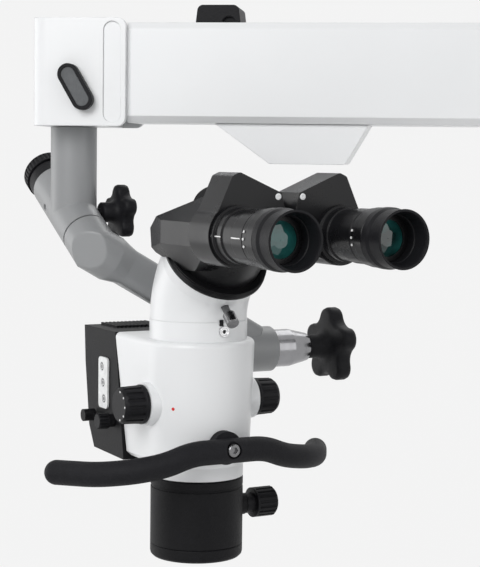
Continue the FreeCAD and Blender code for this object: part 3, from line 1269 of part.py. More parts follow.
make_stand_spigot()
make_rear_block()
make_front_block()
make_lock_lever()
make_pivot_pins()
make_arm_cover()
make_spar()
make_gas_strut()
make_tie_rod()
make_belly_cover()
make_top_cap()
make_swivel_casting()
make_barrel_pieces()
make_end_knob()
make_star_knobs()
make_link_arm()
make_tilt_joint()
make_body_shell()
make_collar_pieces()
make_neck()
make_clamp_screw()
make_dovetail_disk()
make_binocular_housing()
for side in (-1, 1):
    make_prism_box(side)
make_magnification()
make_objective()
make_lamp_housing()
make_lamp_inside()
make_keypad()
make_filter_controls()
make_handle()
check_document()
write_parts()
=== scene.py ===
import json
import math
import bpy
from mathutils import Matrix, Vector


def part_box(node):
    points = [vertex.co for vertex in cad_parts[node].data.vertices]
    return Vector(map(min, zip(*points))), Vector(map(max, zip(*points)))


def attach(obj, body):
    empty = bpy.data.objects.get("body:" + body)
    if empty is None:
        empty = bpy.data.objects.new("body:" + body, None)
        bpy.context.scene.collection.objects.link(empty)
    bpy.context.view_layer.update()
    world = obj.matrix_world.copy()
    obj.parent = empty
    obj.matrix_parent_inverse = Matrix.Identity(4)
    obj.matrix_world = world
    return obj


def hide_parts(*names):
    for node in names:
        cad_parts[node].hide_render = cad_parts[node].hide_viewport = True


bl_info = {
    "name": "Surgical Microscope Finishes",
    "version": (1, 0, 0),
    "blender": (4, 5, 0),
    "location": "View3D > Sidebar > Microscope",
    "description": "Paint, knobs, glass and small trim for a surgical microscope on its spring arm",
    "category": "Object",
}

import bmesh
import bpy
from bpy.props import FloatProperty, FloatVectorProperty, IntProperty, PointerProperty
from mathutils import Matrix, Vector
from mathutils.bvhtree import BVHTree

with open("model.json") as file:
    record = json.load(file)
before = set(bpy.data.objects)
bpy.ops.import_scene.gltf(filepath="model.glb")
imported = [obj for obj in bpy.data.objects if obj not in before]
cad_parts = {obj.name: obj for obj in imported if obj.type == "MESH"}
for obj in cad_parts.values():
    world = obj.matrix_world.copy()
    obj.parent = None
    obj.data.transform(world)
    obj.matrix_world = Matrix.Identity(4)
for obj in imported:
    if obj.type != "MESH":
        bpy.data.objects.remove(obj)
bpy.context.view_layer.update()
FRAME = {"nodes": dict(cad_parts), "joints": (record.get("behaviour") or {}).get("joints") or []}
MM = 0.001
SIDES = (("left", -1), ("right", 1))
TO_USER = Matrix.Rotation(math.radians(90), 4, "X")
TO_LEFT = Matrix.Rotation(math.radians(-90), 4, "Y")
TO_RIGHT = Matrix.Rotation(math.radians(90), 4, "Y")

# The head, in millimetres: axes of the eyepieces, their rings, screws and index lines, and the neck's seam,
# where a band of painted shade goes
EYE_X = 36.5
EYE_Z = 222.8
TUBE_RING_Y = -156.0
BOX_SCREW_X = 8.6
BOX_SCREW_Z = 246.0
INDEX_LINES = ((-121.0, -130.0), (-143.0, -153.5))
INDEX_WIDTH = 0.7
SEAM_Z = 161.1

# Marks, in metres and degrees
RED_DOT_START = (-0.1578, -0.2556, 0.104)
RED_DOT_WAY = (0.4818, 0.8763, 0)
RED_DOT_RADIUS = 0.0011
SOCKET_SHADE_RADIUS = 0.0013
RING_SINK = 0.0006
KNOB_DOT_REACH = 0.0096
KNOB_DOT_START = 102
KNOB_DOT_STEP = 39
RING_DOT_STEP = 14

# Star knobs, in metres
LARGE_STAR_THICK = 0.012
SMALL_STAR_INSET = 0.002
HUB_GAP = 0.0003
HUB_EDGE = 0.0006
STUD_LENGTH = 0.004
STUD_RADIUS = 0.0028

# Outline of a star knob of radius 1: middle and radius of a lobe and of a dent, and in degrees
# where the lobe ends and where the dent has its middle
LOBE = (0.70, 0.30)
DENT = (1.16, 0.4223)
LOBE_END = 19.51
HALF_PITCH = 36.0

# The link arm, in metres: a pipe on the barrel's axis, a flattened elbow and a bar to the boss
INCOMING = Vector((0, -math.cos(math.radians(30)), -math.sin(math.radians(30))))
LINK_CORNER = Vector((-50.8, 58.2276, 205.35)) * MM
LINK_END = Vector((72, 58, 136.5)) * MM
PIPE_RADIUS = 0.0164
PIPE_START = 0.0175
PIPE_EDGE = 0.0170
ELBOW_FLAT = 0.0105
ELBOW_END = 0.014
BAR_START = 0.026
BOSS_RADIUS = 0.0165
BOSS_LENGTH = 0.063
SPINDLE_RADIUS = 0.009
SPINDLE_START = 0.0765
SPINDLE_LENGTH = 0.062
SOFT_EDGE = 0.0008

# Half the depth and half the height of the link arm's bar, and the left end of its boss, in millimetres
BAR_HALVES = (12, 13)
BOSS_END = (26.0, 58.0, 130.0)

# The photograph's camera, in pixels: focal length, middle of the picture and where the collar is seen
FOCAL = 1600.0
PICTURE_MIDDLE = (240.0, 283.5)
COLLAR_SPOT = (198.4, 318.1)

# The stage: height of the collar and depth of the floor in metres, strength of the light, share of the glow
COLLAR_HEIGHT = 0.161
FLOOR_DROP = 0.55
ROOM_LIGHT = 0.42
FLOOR_GLOW = 0.97


class PaintSettings(bpy.types.PropertyGroup):
    white: FloatVectorProperty(
        name="White paint",
        description="Colour of the arm, end blocks, body and neck",
        subtype="COLOR",
        default=(0.83, 0.84, 0.85),
        min=0.0,
        max=1.0,
    )
    casting: FloatVectorProperty(
        name="Grey castings",
        description="Colour of the swivel casting and the link arm",
        subtype="COLOR",
        default=(0.27, 0.276, 0.282),
        min=0.0,
        max=1.0,
    )
    black: FloatVectorProperty(
        name="Black housings",
        description="Colour of the binocular, lamp and objective housings",
        subtype="COLOR",
        default=(0.0065, 0.0065, 0.0075),
        min=0.0,
        max=1.0,
    )
    grip: FloatVectorProperty(
        name="Grips and knobs",
        description="Colour of the handle, knobs and eyecups",
        subtype="COLOR",
        default=(0.009, 0.009, 0.0105),
        min=0.0,
        max=1.0,
    )
    coating: FloatVectorProperty(
        name="Lens coating",
        description="Colour that the lens coating reflects",
        subtype="COLOR",
        default=(0.02, 0.17, 0.16),
        min=0.0,
        max=1.0,
    )


class MarkSettings(bpy.types.PropertyGroup):
    dot: FloatProperty(
        name="Dot size",
        description="Radius of the white dots on the knobs and rings",
        subtype="DISTANCE",
        default=0.00075,
        min=0.0002,
        max=0.002,
    )
    knob_dots: IntProperty(
        name="Dots on the knob",
        description="White dots round the face of the magnification knob",
        default=5,
        min=0,
        max=12,
    )


class StageSettings(bpy.types.PropertyGroup):
    lens: FloatProperty(
        name="Lens", description="Focal length of the camera", subtype="DISTANCE_CAMERA", default=120.0
    )
    turn: FloatProperty(
        name="View turn",
        description="Angle by which the camera looks from the user's left",
        subtype="ANGLE",
        default=math.radians(28.8),
    )
    pitch: FloatProperty(
        name="View pitch",
        description="Angle by which the camera looks down",
        subtype="ANGLE",
        default=math.radians(4.41),
    )
    roll: FloatProperty(
        name="View roll", description="Roll of the camera", subtype="ANGLE", default=math.radians(0.7)
    )
    depth: FloatProperty(
        name="View depth",
        description="Depth of the body's collar in front of the camera",
        subtype="DISTANCE",
        default=1.08,
    )
    backdrop: FloatProperty(
        name="Backdrop", description="Brightness of the backdrop as the camera sees it", default=0.915
    )


def paint():
    """The colours that a user can change."""
    return bpy.context.scene.microscope_paint


def box_middle(node):
    """The middle of a CAD node's box."""
    low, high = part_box(node)
    return (Vector(low) + Vector(high)) / 2


def joint(name):
    """What the frame says of one joint."""
    return next(item for item in FRAME["joints"] if item["name"] == name)


class Sock:
    """A node's output, which can be added and multiplied."""

    def __init__(self, graph, link):
        self.graph = graph
        self.link = link

    def math(self, operation, *values):
        return self.graph.node("ShaderNodeMath", {"operation": operation}, *values)

    def __add__(self, other):
        return self.math("ADD", self, other)

    def __radd__(self, other):
        return self.math("ADD", other, self)

    def __mul__(self, other):
        return self.math("MULTIPLY", self, other)

    def __rmul__(self, other):
        return self.math("MULTIPLY", other, self)


class Graph:
    """The node tree of one material or world."""

    def __init__(self, owner):
        owner.use_nodes = True
        self.owner = owner
        self.tree = owner.node_tree
        self.tree.nodes.clear()

    def node(self, kind, settings=None, *values, output=0, **named):
        item = self.tree.nodes.new(kind)
        for key, value in (settings or {}).items():
            setattr(item, key, value)
        for key, value in list(enumerate(values)) + list(named.items()):
            name = key.replace("_", " ") if isinstance(key, str) else key
            self.feed(item.inputs[name], value)
        return Sock(self, item.outputs[output])

    def feed(self, socket, value):
        if isinstance(value, Sock):
            self.tree.links.new(value.link, socket)
        elif value is not None:
            socket.default_value = value

    def where(self):
        return self.node("ShaderNodeTexCoord", output="Object")

    def noise(self, scale, detail=3.0, roughness=0.5):
        return self.node(
            "ShaderNodeTexNoise",
            None,
            Vector=self.where(),
            Scale=scale,
            Detail=detail,
            Roughness=roughness,
        )

    def grey(self, factor, low, high, start=0.0, end=1.0):
        return self.node(
            "ShaderNodeMapRange", None, factor, From_Min=start, From_Max=end, To_Min=low, To_Max=high
        )

    def mix(self, factor, first, second):
        item = self.tree.nodes.new("ShaderNodeMix")
        item.data_type = "RGBA"
        self.feed(item.inputs[0], factor)
        self.feed(item.inputs[6], first)
        self.feed(item.inputs[7], second)
        return Sock(self, item.outputs[2])

    def soft_edges(self, radius):
        return self.node("ShaderNodeBevel", {"samples": 4}, Radius=radius)

    def bump(self, height, strength, distance, edges=None):
        return self.node(
            "ShaderNodeBump",
            None,
            Strength=strength,
            Distance=distance,
            Height=height,
            Normal=edges,
        )

    def finish(self, **sockets):
        shader = self.node("ShaderNodeBsdfPrincipled", None, **sockets)
        return self.show("ShaderNodeOutputMaterial", shader)

    def show(self, kind, shader):
        """Puts a shader on the output and gives back what the tree belongs to."""
        output = self.tree.nodes.new(kind)
        self.tree.links.new(shader.link, output.inputs[0])
        return self.owner


def new_finish(name):
    return Graph(bpy.data.materials.new(name))


def tone(colour, share):
    """The colour made lighter or darker, as four numbers."""
    return tuple(min(1.0, value * share) for value in colour[:3]) + (1.0,)


def enamel(name, colour, gloss, peel=0.10, edge=0.0009):
    """Baked enamel: a fine orange peel, a trace of dust and slightly uneven gloss."""
    g = new_finish(name)
    cloud = g.noise(9.0, 4.0)
    fine = g.noise(900.0, 2.0)
    base = g.mix(g.grey(cloud, 0.0, 1.0, 0.35, 0.65), tone(colour, 0.975), tone(colour, 1.0))
    rough = g.grey(cloud, gloss, gloss + 0.07) + g.grey(fine, -0.015, 0.02)
    normal = g.bump(fine, peel, 0.0002, g.soft_edges(edge))
    return g.finish(Base_Color=base, Roughness=rough, Normal=normal, Coat_Weight=0.12, Coat_Roughness=0.18)


def crackle(name, colour, gloss, grain=1400.0, strength=0.5, edge=0.0007, depth=0.00025, shine=0.13):
    """Powder coat or moulded plastic with a fine grain."""
    g = new_finish(name)
    grains = g.node("ShaderNodeTexVoronoi", None, Vector=g.where(), Scale=grain)
    cloud = g.noise(22.0, 3.0)
    mottle = g.noise(260.0, 2.0)
    shade = g.grey(cloud, 0.0, 0.6, 0.3, 0.7) + g.grey(mottle, 0.0, 0.4, 0.3, 0.7)
    base = g.mix(shade, tone(colour, 0.85), tone(colour, 1.25))
    rough = g.grey(cloud, gloss - 0.04, gloss + 0.05)
    normal = g.bump(grains, strength, depth, g.soft_edges(edge))
    return g.finish(Base_Color=base, Roughness=rough, Normal=normal, Specular_IOR_Level=shine)


def lacquer(name, colour, gloss, edge=0.0006):
    """Smooth black anodised or lacquered metal with faint handling marks."""
    g = new_finish(name)
    smear = g.noise(35.0, 5.0, roughness=0.6)
    fine = g.noise(1600.0, 2.0)
    base = g.mix(g.grey(smear, 0.0, 1.0, 0.35, 0.7), tone(colour, 0.9), tone(colour, 1.3))
    rough = g.grey(smear, gloss, gloss + 0.12, 0.3, 0.75) + g.grey(fine, -0.02, 0.02)
    normal = g.bump(fine, 0.06, 0.0001, g.soft_edges(edge))
    return g.finish(
        Base_Color=base,
        Roughness=rough,
        Normal=normal,
        Specular_IOR_Level=0.2,
        Coat_Weight=0.04,
        Coat_Roughness=0.12,
    )


def turned_metal(name, colour, gloss, axis, pitch=2600.0, strength=0.25, edge=0.0004):
    """Metal turned on the lathe: fine rings square to the axis."""
    g = new_finish(name)
    along = g.node("ShaderNodeVectorMath", {"operation": "DOT_PRODUCT"}, g.where(), tuple(axis), output=1)
    phase = along * pitch
    rings = phase.math("SINE", phase)
    streak = g.noise(60.0, 4.0)
    wave = rings * 0.5 + g.grey(streak, 0.0, 1.0)
    base = g.mix(g.grey(streak, 0.0, 1.0, 0.3, 0.7), tone(colour, 0.86), tone(colour, 1.0))
    rough = g.grey(wave, gloss - 0.05, gloss + 0.10, 0.0, 1.5)
    normal = g.bump(wave, strength, 0.00005, g.soft_edges(edge))
    return g.finish(Base_Color=base, Metallic=1.0, Roughness=rough, Normal=normal)


def clear_glass(name, tint):
    """Polished glass."""
    g = new_finish(name)
    cloud = g.noise(30.0, 2.0)
    return g.finish(
        Base_Color=tone(tint, 1.0),
        Roughness=g.grey(cloud, 0.01, 0.03),
        IOR=1.5,
        Transmission_Weight=1.0,
    )


def coated_lens(name, colour):
    """A coated lens: dark glass with an uneven coloured coating."""
    g = new_finish(name)
    swirl = g.noise(55.0, 3.0)
    base = g.mix(g.grey(swirl, 0.0, 1.0, 0.35, 0.65), tone(colour, 0.15), tone(colour, 1.0))
    return g.finish(
        Base_Color=base, Roughness=g.grey(swirl, 0.03, 0.06), Coat_Weight=0.4, Coat_Roughness=0.02, IOR=1.5
    )


def sintered_bronze(name):
    """Bronze with fine pores, as bearing bushes have."""
    g = new_finish(name)
    pores = g.noise(700.0, 4.0)
    base = g.mix(g.grey(pores, 0.0, 1.0, 0.3, 0.7), (0.30, 0.19, 0.08, 1), (0.52, 0.36, 0.17, 1))
    return g.finish(
        Base_Color=base,
        Metallic=1.0,
        Roughness=g.grey(pores, 0.3, 0.5),
        Normal=g.bump(pores, 0.3, 0.0001, g.soft_edges(0.0003)),
    )


def ink(name, colour):
    """Printed marks."""
    g = new_finish(name)
    cloud = g.noise(400.0, 3.0)
    base = g.mix(g.grey(cloud, 0.0, 1.0, 0.3, 0.7), tone(colour, 0.85), tone(colour, 1.0))
    return g.finish(Base_Color=base, Roughness=g.grey(cloud, 0.4, 0.55))


def make_finishes():
    """Makes every finish of the object, each by a name of its own."""
    p = paint()
    white, casting = tuple(p.white), tuple(p.casting)
    black, grip = tuple(p.black), tuple(p.grip)
    across_arm = Vector(joint("arm_lift")["axis"]).normalized()
    enamel("white enamel", white, 0.30)
    enamel("grey casting", casting, 0.36, peel=0.16, edge=0.0014)
    enamel("link casting", casting, 0.36, peel=0.16, edge=0.0035)
    crackle("black powder coat", black, 0.50)
    lacquer("black lacquer", black, 0.24)
    crackle("black knob", grip, 0.46, grain=1100.0, strength=0.4, edge=0.0009)
    crackle("handle grain", tone(grip, 1.3), 0.60, grain=800.0, strength=0.7, edge=0.001)
    crackle("eyecup rubber", grip, 0.42, grain=1800.0, strength=0.3)
    crackle("grey plastic", (0.12, 0.125, 0.13), 0.5)
    crackle("button plastic", (0.20, 0.205, 0.21), 0.45, edge=0.0003)
    crackle("pale plastic", (0.78, 0.79, 0.79), 0.42, edge=0.0003, shine=0.4)
    turned_metal("turned steel", (0.62, 0.62, 0.63), 0.28, (0, 0, 1))
    turned_metal("turned sleeve", (0.30, 0.30, 0.31), 0.18, (1, 0, 0), 900.0, 0.08)
    turned_metal("dark screw", (0.20, 0.20, 0.205), 0.24, (0, 1, 0), 1400.0, 0.1)
    turned_metal("pin steel", (0.6, 0.6, 0.61), 0.3, across_arm)
    turned_metal("bare aluminium", (0.68, 0.69, 0.7), 0.34, (0, 0, 1), 1400.0)
    sintered_bronze("bronze")
    clear_glass("glass", (0.95, 0.98, 0.98))
    coated_lens("coated lens", tuple(p.coating))
    ink("white ink", (0.85, 0.85, 0.85))
    ink("red ink", (0.75, 0.02, 0.02))
    enamel("screw white", tone(white, 0.95), 0.35, edge=0.0002)
    # Painted shade: a near-black finish that stands in for the shade inside a groove or a hole, not a
    # colour that the parts have
    crackle("painted recess shade", (0.006, 0.006, 0.007), 0.6, edge=0.0002)


NODE_FINISH = {
    "stand_spigot": "turned steel",
    "rear_block": "white enamel",
    "front_block": "white enamel",
    "lock_lever": "black knob",
    "lock_lever_inset": "grey plastic",
    "arm_pivot_pins": "pin steel",
    "rod_pins": "pin steel",
    "arm_cover": "white enamel",
    "arm_spar": "grey casting",
    "gas_strut": "black lacquer",
    "tie_rod": "turned steel",
    "belly_cover": "white enamel",
    "top_cap": "black knob",
    "swivel_casting": "grey casting",
    "barrel_bushes": "bronze",
    "barrel_end_knob": "black knob",
    "small_star_knob": "black knob",
    "large_star_knob": "black knob",
    "link_arm": "link casting",
    "tilt_shaft": "turned sleeve",
    "tilt_bushes": "bronze",
    "clamp_sleeve": "turned sleeve",
    "head_body": "white enamel",
    "neck_key": "black knob",
    "collar_set_screw": "turned steel",
    "neck": "white enamel",
    "dovetail_clamp_screw": "dark screw",
    "dovetail_disk": "black lacquer",
    "binocular_housing": "black lacquer",
    "left_prism_box": "black lacquer",
    "right_prism_box": "black lacquer",
    "left_prism": "glass",
    "right_prism": "glass",
    "left_eye_tube": "black lacquer",
    "right_eye_tube": "black lacquer",
    "left_diopter_ring": "black lacquer",
    "right_diopter_ring": "black lacquer",
    "left_eyecup": "eyecup rubber",
    "right_eyecup": "eyecup rubber",
    "left_eye_lens": "coated lens",
    "right_eye_lens": "coated lens",
    "magnification_drum": "turned sleeve",
    "drum_lenses": "glass",
    "left_magnification_knob": "black knob",
    "right_magnification_knob": "black knob",
    "objective_housing": "black powder coat",
    "objective_front_ring": "black powder coat",
    "objective_cell": "black powder coat",
    "objective_lens": "coated lens",
    "focus_knob": "black knob",
    "lamp_housing": "black powder coat",
    "lamp_unit": "bare aluminium",
    "keypad_plate": "pale plastic",
    "upper_button": "button plastic",
    "middle_button": "button plastic",
    "lower_button": "button plastic",
    "filter_knob": "black knob",
    "iris_lever": "black powder coat",
    "handle_bar": "handle grain",
    "handle_screw": "dark screw",
}


def finish_of(name):
    return bpy.data.materials[name]


def wear(item, finish):
    item.data.materials.clear()
    item.data.materials.append(finish_of(finish))


def lathe(profile, segments=64):
    """A mesh turned round Z from (radius, height) points."""
    mesh = bmesh.new()
    rings = []
    for radius, height in profile:
        if radius < 1e-7:
            rings.append([mesh.verts.new((0, 0, height))])
            continue
        ring = []
        for k in range(segments):
            angle = 2 * math.pi * k / segments
            ring.append(mesh.verts.new((radius * math.cos(angle), radius * math.sin(angle), height)))
        rings.append(ring)
    for low, high in zip(rings, rings[1:]):
        for k in range(segments):
            after = (k + 1) % segments
            corners = [low[k % len(low)], low[after % len(low)]]
            corners += [high[after % len(high)], high[k % len(high)]]
            unique = list(dict.fromkeys(corners))
            if len(unique) > 2:
                mesh.faces.new(unique)
    bmesh.ops.recalc_face_normals(mesh, faces=mesh.faces)
    return mesh


def band(inner, outer, low, high, segments=64):
    """A ring with square edges."""
    return lathe([(inner, low), (outer, low), (outer, high), (inner, high), (inner, low)], segments)


def skin(mesh, loops):
    """Faces between rings of equally many points."""
    for low, high in zip(loops, loops[1:]):
        for k in range(len(low)):
            after = (k + 1) % len(low)
            mesh.faces.new((low[k], low[after], high[after], high[k]))


def add_piece(name, mesh, place, finish, body, smooth=40):
    """Turns a mesh into a named piece that rides on a CAD body."""
    data = bpy.data.meshes.new(name)
    mesh.transform(place)
    mesh.to_mesh(data)
    mesh.free()
    item = bpy.data.objects.new(name, data)
    bpy.context.scene.collection.objects.link(item)
    data.materials.append(finish_of(finish))
    for face in data.polygons:
        face.use_smooth = True
    data.set_sharp_from_angle(angle=math.radians(smooth))
    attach(item, body)
    return item


def at(x, y, z):
    """A place in millimetres."""
    return Matrix.Translation((x * MM, y * MM, z * MM))


def surface(node, start, way):
    """The point and the outward direction where a line meets a CAD node."""
    item = FRAME["nodes"][node]
    points = [item.matrix_world @ vertex.co for vertex in item.data.vertices]
    tree = BVHTree.FromPolygons(points, [tuple(face.vertices) for face in item.data.polygons])
    point, normal, _, _ = tree.ray_cast(Vector(start), Vector(way))
    if point is None:
        raise RuntimeError(f"nothing of {node} lies on this line")
    return point, (normal if normal.dot(Vector(way)) < 0 else -normal)


def facing(point, normal):
    """Places a piece made along Z on a surface."""
    return Matrix.Translation(point) @ normal.to_track_quat("Z", "Y").to_matrix().to_4x4()


def ribbon(name, node, spots, way, width, finish, body):
    """A thin printed line laid along a surface."""
    mesh = bmesh.new()
    side = (spots[-1] - spots[0]).cross(way).normalized() * (width * MM / 2)
    rows = []
    for spot in spots:
        point, normal = surface(node, spot - way * 0.1, way)
        heights = ((-0.0003, -1), (0.00008, -1), (0.00008, 1), (-0.0003, 1))
        rows.append([mesh.verts.new(point + normal * lift + side * edge) for lift, edge in heights])
    for first, second in zip(rows, rows[1:]):
        for k in range(4):
            mesh.faces.new((first[k], second[k], second[(k + 1) % 4], first[(k + 1) % 4]))
    mesh.faces.new(rows[0])
    mesh.faces.new(rows[-1])
    bmesh.ops.recalc_face_normals(mesh, faces=mesh.faces)
    add_piece(name, mesh, Matrix.Identity(4), finish, body)


def dot_mesh(radius, height=0.00012):
    """A printed dot that stands a little proud."""
    return lathe([(radius, -0.0004), (radius, height * 0.6), (radius * 0.8, height), (0, height)], 16)


class MICROSCOPE_OT_finishes(bpy.types.Operator):
    """Gives every CAD node its finish"""

    bl_idname = "microscope.finishes"
    bl_label = "Apply finishes"

    def execute(self, context):
        make_finishes()
        for name, finish in NODE_FINISH.items():
            wear(FRAME["nodes"][name], finish)
        return {"FINISHED"}


class MICROSCOPE_OT_marks(bpy.types.Operator):
    """Adds the dots of knobs and rings, the button rings, the neck's seam as a near-black band of painted
    shade, a dot of painted shade in the set screw's socket and the red dot
    """

    bl_idname = "microscope.marks"
    bl_label = "Add marks"

    def execute(self, context):
        settings = context.scene.microscope_marks
        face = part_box("left_magnification_knob")[0][0]
        middle = box_middle("left_magnification_knob")
        for k in range(settings.knob_dots):
            angle = math.radians(KNOB_DOT_START + KNOB_DOT_STEP * k)
            across, up = KNOB_DOT_REACH * math.cos(angle), KNOB_DOT_REACH * math.sin(angle)
            place = Matrix.Translation((face, middle.y + across, middle.z + up)) @ TO_LEFT
            add_piece(f"knob_dot_{k}", dot_mesh(settings.dot), place, "white ink", "changer")
        point, normal = surface("head_body", RED_DOT_START, RED_DOT_WAY)
        add_piece("red_dot", dot_mesh(RED_DOT_RADIUS), facing(point, normal), "red ink", "head")
        # The set screw's socket is not cut: a flat near-black dot on its face is painted shade, standing in
        # for the dark inside of the hole
        middle = box_middle("collar_set_screw")
        inward = Vector((-middle.x, -middle.y, 0)).normalized()
        point, _ = surface("collar_set_screw", middle - inward * 0.05, inward)
        socket = dot_mesh(SOCKET_SHADE_RADIUS)
        add_piece("set_screw_socket_shade", socket, facing(point, -inward), "painted recess shade", "head")
        # Painted shade: a thin near-black band round the neck stands in for the shade in the seam's groove
        edge, _ = surface("neck", (0, -0.2, 0.1616), (0, 1, 0))
        reach = abs(edge.y)
        seam = band(reach - RING_SINK, reach + 0.0003, 0.0, 0.0009, 96)
        add_piece("neck_seam_shade", seam, at(0, 0, SEAM_Z), "painted recess shade", "head")
        for name in ("upper", "middle", "lower"):
            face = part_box(f"{name}_button")[0][0]
            middle = box_middle(f"{name}_button")
            place = Matrix.Translation((face, middle.y, middle.z)) @ TO_LEFT
            ring = band(0.0014, 0.0019, -0.0002, 0.00008, 40)
            add_piece(f"{name}_button_ring", ring, place, "white ink", f"key_{name}")
        for name, _ in SIDES:
            middle = box_middle(f"{name}_diopter_ring")
            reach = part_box(f"{name}_diopter_ring")[1][0] - middle.x
            for k in range(3):
                angle = math.radians(180 + RING_DOT_STEP * (k - 1))
                across, up = reach * math.cos(angle), reach * math.sin(angle)
                spot = Matrix.Translation((middle.x + across, middle.y + 0.004, middle.z + up))
                place = spot @ Matrix.Rotation(-angle, 4, "Y") @ TO_RIGHT
                dot = dot_mesh(settings.dot)
                add_piece(f"{name}_ring_dot_{k}", dot, place, "white ink", f"{name}_diopter")
        return {"FINISHED"}


def circle_reach(middle, radius, turn, side):
    """How far out a circle lies at an angle from its middle: its far side for 1, its near side for -1."""
    return middle * math.cos(turn) + side * math.sqrt(radius ** 2 - (middle * math.sin(turn)) ** 2)


def star_reach(angle):
    """How far a five-lobed outline of radius 1 reaches: round lobes that run into round dents."""
    off = abs((angle + HALF_PITCH) % (2 * HALF_PITCH) - HALF_PITCH)
    turn = math.radians(off)
    if off < LOBE_END:
        return circle_reach(*LOBE, turn, 1)
    return circle_reach(*DENT, math.radians(HALF_PITCH) - turn, -1)


def star_mesh(radius, thick, hub, hub_radius):
    """A five-lobed grip on a flared hub, made along Z with one lobe along -X, its back at height 0."""
    soft = radius * 0.11
    softer = soft * 0.29
    round_rings = [
        (STUD_RADIUS, -hub - STUD_LENGTH),
        (STUD_RADIUS, -hub),
        (hub_radius - HUB_EDGE, -hub),
        (hub_radius, -hub + HUB_EDGE),
        (hub_radius, -0.0045),
        (hub_radius * 1.12, -0.0020),
        (radius * 0.50, 0.0),
    ]
    star_rings = [
        (soft, 0.0),
        (softer, softer),
        (0.0, soft),
        (0.0, thick - soft),
        (softer, thick - softer),
        (soft, thick),
        (radius * 0.45, thick + radius * 0.015),
    ]
    segments = 160
    mesh = bmesh.new()
    rings = []
    for reach, height in round_rings:
        rings.append([(reach, height)] * segments)
    for inset, height in star_rings:
        outline = [radius * star_reach(180.0 + 360.0 * k / segments) - inset for k in range(segments)]
        rings.append([(reach, height) for reach in outline])
    loops = []
    for ring in rings:
        loop = []
        for k, (reach, height) in enumerate(ring):
            turn = 2 * math.pi * k / segments
            loop.append(mesh.verts.new((reach * math.cos(turn), reach * math.sin(turn), height)))
        loops.append(loop)
    skin(mesh, loops)
    for loop, height in ((loops[0], -hub - STUD_LENGTH), (loops[-1], thick + radius * 0.02)):
        middle = mesh.verts.new((0, 0, height))
        for k in range(segments):
            mesh.faces.new((loop[k], loop[(k + 1) % segments], middle))
    bmesh.ops.recalc_face_normals(mesh, faces=mesh.faces)
    return mesh


def add_star(name, node, turning, body, face, radius, thick, hub, hub_radius):
    """A five-lobed grip in place of a CAD knob; face is its right end."""
    place = joint(turning)["pos_m"]
    spot = Matrix.Translation((face - thick, place[1], place[2])) @ TO_RIGHT
    mesh = star_mesh(radius, thick, hub, hub_radius)
    piece = add_piece(name, mesh, spot, "black knob", body, 50)
    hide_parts(node)


class MICROSCOPE_OT_star_knobs(bpy.types.Operator):
    """Makes the two five-lobed clamp knobs"""

    bl_idname = "microscope.star_knobs"
    bl_label = "Make star knobs"

    def execute(self, context):
        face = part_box("large_star_knob")[1][0]
        hub = face - LARGE_STAR_THICK - (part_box("clamp_sleeve")[1][0] + HUB_GAP)
        add_star("large_star_grip", "large_star_knob", "tilt_knob_turn", "tilt_knob", face,
                 radius=0.0286, thick=LARGE_STAR_THICK, hub=hub, hub_radius=0.0088)
        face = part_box("small_star_knob")[1][0] - SMALL_STAR_INSET
        add_star("small_star_grip", "small_star_knob", "side_knob_turn", "side_knob", face,
                 radius=0.0197, thick=0.0093, hub=0.0112, hub_radius=0.0072)
        return {"FINISHED"}


def link_rings(segments=96):
    """Rings of a mitred pipe that runs into a bar, with a flat face on the elbow."""
    outgoing = (LINK_END - LINK_CORNER).normalized()
    side = INCOMING.cross(outgoing).normalized()
    mitre = (INCOMING + outgoing).normalized()
    outward = (INCOMING - outgoing).normalized()
    across = Vector((0, 1, 0))
    rise = outgoing.cross(across).normalized()
    stations = [[] for _ in range(6)]
    for k in range(segments):
        turn = 2 * math.pi * k / segments
        flat = (side * math.cos(turn) + side.cross(INCOMING) * math.sin(turn)) * PIPE_RADIUS
        off = (side * math.cos(turn) + side.cross(outgoing) * math.sin(turn)) * PIPE_RADIUS
        way = off.normalized()
        deep, high = abs(way.dot(across)) / BAR_HALVES[0], abs(way.dot(rise)) / BAR_HALVES[1]
        reach = MM / (deep ** 4 + high ** 4) ** 0.25
        stations[0].append(LINK_CORNER - INCOMING * PIPE_START + flat * 0.97)
        stations[1].append(LINK_CORNER - INCOMING * PIPE_EDGE + flat)
        stations[2].append(LINK_CORNER + flat - INCOMING * (flat.dot(mitre) / INCOMING.dot(mitre)))
        stations[3].append(LINK_CORNER + outgoing * ELBOW_END + off)
        stations[4].append(LINK_CORNER + outgoing * BAR_START + way * reach)
        stations[5].append(LINK_END + way * reach)
    rings = [stations[0]]
    for first, second, steps in zip(stations, stations[1:], (1, 26, 26, 12, 2)):
        for step in range(1, steps + 1):
            rings.append([a.lerp(b, step / steps) for a, b in zip(first, second)])
    for ring in rings:
        for k, point in enumerate(ring):
            excess = (point - LINK_CORNER).dot(outward) - ELBOW_FLAT
            if excess > 0:
                ring[k] = point - outward * excess
    return rings


